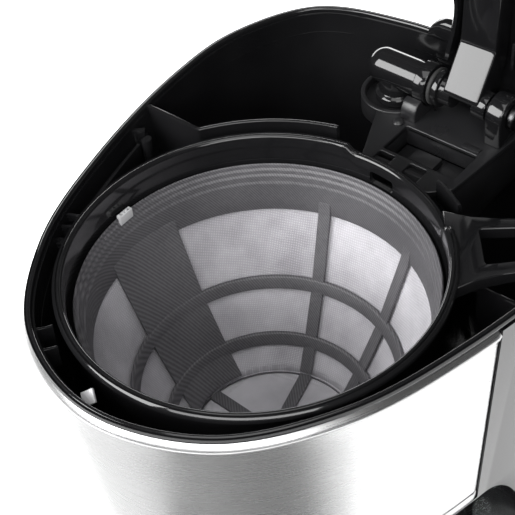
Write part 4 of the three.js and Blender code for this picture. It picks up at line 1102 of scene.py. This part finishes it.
def carafe():
    z = CARAFE_FOOT
    outer = [(52, 0), (56.5, 1.2), (60.4, 5), (62.8, 11), (64.2, 18), (64.9, 27), (65, 36), (64.2, 46),
             (62.4, 56),
             (59, 67), (54, 79), (50, 87), (47, 92.5), (45.8, 97), (45.6, 101), (45.9, 106), (46.6, 111)]
    inner = [(r - 2.0, max(h, 2.4)) for r, h in reversed(outer[1:])]
    profile = [(CORE, 0.6), (40, 0.4), *outer, (45.8, 111.7), *inner, (CORE, 2.6)]
    vessel = turned("carafe_vessel", soft([(r, h + z) for r, h in profile], 0.8, steps=2), 200)
    piece(vessel, "carafe", "carafe_glass", smooth=60)
    strap = soft([(47.6, 93), (49.4, 93), (49.8, 94), (49.8, 106), (49.5, 107), (47.9, 107), (47.9, 106),
                  (47.7, 94)], 0.4)
    piece(turned("neck_strap", [(r, h + z) for r, h in strap], 160), "carafe", "carafe_band")

    route = [(-52, 148), (-72, 150), (-96, 149), (-111, 138), (-115, 118), (-110, 92), (-101, 74)]
    path = []
    for i in range(len(route) - 1):
        a, b, c, d = (Vector((0, *route[min(max(i + j, 0), len(route) - 1)])) for j in (-1, 0, 1, 2))
        for k in range(10):
            f = k / 10
            path.append(0.5 * (2 * b + (c - a) * f + (2 * a - 5 * b + 4 * c - d) * f ** 2
                               + (3 * b - a - 3 * c + d) * f ** 3))
    path.append(Vector((0, *route[-1])))
    section = soft([(-9.5, -6), (9.5, -6), (9.5, 6), (-9.5, 6)], 3.6, steps=5)
    grip = swept("pour_handle", [tuple(p) for p in section], path)
    clamp = chip("clamp", -9, 9, -60, -50.2, 139, 156, 1.2, 3)
    bore = along_y("bore", soft([(CORE, -90), (4.2, -90), (4.2, -60.3), (CORE, -60.3)], 0.01, steps=1), 0,
                   146)
    neck = rod("neck", 50.3, 100, 170, steps=160)
    grip = cut(join(grip, clamp), neck, bore)
    piece(grip, "carafe", "carafe_handle")

    under = 158.5
    dish = soft([(CORE, under + 6.5), (38, under + 6.5), (41.8, under), (41.8, under - 6), (43, under - 6),
                 (43, under + 1),
                 (48.6, under + 1), (49.4, under + 3), (48.8, under + 9), (44, under + 13),
                 (15, under + 15.1),
                 (13.6, under + 14.6), (6.6, under + 12.2), (3, under + 12), (3, under + 9),
                 (CORE, under + 9)], 0.8, steps=3)
    cover = turned("pour_lid", [(max(r, 3.0), h) for r, h in dish], 160)
    ridge = block("ridge", -34, 34, -3, 3, under + 10, under + 17.5)
    ridge = cut(bevelled(ridge, 1.2, 3), rod("bowl", 14.5, under, under + 30))
    piece(merged(cover, ridge), "carafe_lid", "carafe_lid")


housing()
steel_panel()
tank()
fairing()
bridge()
post()
elbow()
lid()
holder()
filter_basket()
base()
controls()
carafe()

for name, node in frame["nodes"].items():
    if name not in REPLACED:
        for place in node.material_slots:
            place.link = "OBJECT"
            place.material = LOOKS[NODE_SLOTS[name]]

# ---------------------------------------------------------------- floor, light and camera

floor = build("floor", [(-9, -9, 0), (9, -9, 0), (9, 9, 0), (-9, 9, 0)], [(0, 1, 2, 3)])
floor.data.materials.append(floor_material())


def painted_shade_card_material():
    """A soft dark card that paints shade into reflections: how much light it lets through depends on the
    direction from the machine.
    """
    m = Nodes("painted_shade_card")
    turn = m.add("ShaderNodeTexGradient", gradient_type="RADIAL")
    m.wire(m.place, turn.inputs["Vector"])
    ramp = m.add("ShaderNodeValToRGB")
    stops = [(-170, 0.72), (-150, 0.54), (-114, 0.52), (-103, 0.42), (-95, 0.3), (-87, 0.2), (-75, 0.165),
             (-60, 0.14),
             (-45, 0.115), (-33, 0.105), (-26, 0.15), (-20, 0.42), (-14, 0.78), (-7, 1.0)]
    for i, (angle, value) in enumerate(stops):
        stop = ramp.color_ramp.elements[i] if i < 2 else ramp.color_ramp.elements.new(1)
        stop.position = angle / 360 + 0.5
        stop.color = (value, value, value, 1)
    m.wire(turn.outputs["Fac"], ramp.inputs["Fac"])
    clear = m.add("ShaderNodeBsdfTransparent")
    blend = m.add("ShaderNodeMixShader")
    m.wire(ramp.outputs["Color"], blend.inputs["Fac"])
    m.wire(m.shader.outputs["BSDF"], blend.inputs[1])
    m.wire(clear.outputs["BSDF"], blend.inputs[2])
    m.wire(blend.outputs["Shader"], m.tree.nodes["Material Output"].inputs["Surface"])
    grain = m.grain(60, 3)
    m.colour(m.between(grain, 0, 1), (0.01, 0.01, 0.01), (0.02, 0.02, 0.02))
    m.rough(m.between(grain, 0.8, 0.9))
    return m.material


# Painted shade: a dark card lying on the floor around the front of the machine. It is hidden from the camera,
# from shadows and from diffuse light, so it shows only as darker bands reflected in the steel panel and other
# glossy parts.
PAINTED_SHADE_CARD_STEPS = 45
turns = [radians(-180 * (1 - k / PAINTED_SHADE_CARD_STEPS)) for k in range(PAINTED_SHADE_CARD_STEPS + 1)]
rim_points = [Vector((r * cos(a), r * sin(a), 0.004)) for r in (0.1, 0.5) for a in turns]
far = PAINTED_SHADE_CARD_STEPS + 1
painted_shade_card = build("painted_shade_card", rim_points, [(k, k + 1, k + far + 1, k + far) for k in range(PAINTED_SHADE_CARD_STEPS)])
painted_shade_card.data.materials.append(painted_shade_card_material())
painted_shade_card.visible_camera = False
painted_shade_card.visible_shadow = False
painted_shade_card.visible_diffuse = False


def lamp(name, direction, distance, size, radiance, target=(0, 0, 0.26), shown=True):
    """A soft rectangular light that faces the object and has a given brightness."""
    light = bpy.data.lights.new(name, "AREA")
    light.shape = "RECTANGLE"
    light.size, light.size_y = size
    light.energy = radiance * pi * size[0] * size[1]
    obj = link(name, light)
    away = Vector(direction).normalized()
    obj.location = Vector(target) + away * distance
    obj.rotation_euler = away.to_track_quat("Z", "Y").to_euler()
    obj.visible_camera = False
    obj.visible_glossy = shown


lamp("key", (-0.43, -0.72, 0.54), 1.5, (1.0, 1.0), 11)
lamp("front_low", (0.43, -0.74, 0.51), 1.6, (2.0, 0.42), 7)
lamp("front_top", (0.43, -0.42, 0.8), 1.6, (0.6, 0.6), 3)
lamp("overhead", (0.1, -0.2, 1), 1.6, (1.0, 1.0), 2.4)
lamp("backdrop", (-0.72, 0.68, 0.1), 1.7, (2.2, 0.42), 5.5)
lamp("fill", (0.6, -0.7, 0.9), 2.2, (2.0, 2.0), 0.9, shown=False)

world = bpy.data.worlds.new("studio")
world.use_nodes = True
bpy.context.scene.world = world
tree = world.node_tree
path = tree.nodes.new("ShaderNodeLightPath")
shade = tree.nodes.new("ShaderNodeMapRange")
shade.inputs["To Min"].default_value = 0.08
shade.inputs["To Max"].default_value = 1.0
tree.links.new(path.outputs["Is Camera Ray"], shade.inputs["Value"])
tree.links.new(shade.outputs["Result"], tree.nodes["Background"].inputs["Strength"])
tree.nodes["Background"].inputs["Color"].default_value = (1, 1, 1, 1)

lens = bpy.data.cameras.new("camera")
lens.lens = 104.85
lens.sensor_width = 36
camera = link("camera", lens)
ahead = Vector(CAMERA_AHEAD).normalized()
right = Vector(CAMERA_RIGHT)
right = (right - ahead * right.dot(ahead)).normalized()
over = right.cross(ahead)
turn = Matrix((right, over, -ahead)).transposed().to_4x4()
camera.matrix_world = Matrix.Translation(CAMERA_PLACE) @ turn
bpy.context.scene.camera = camera
bpy.context.scene.view_settings.view_transform = "Standard"
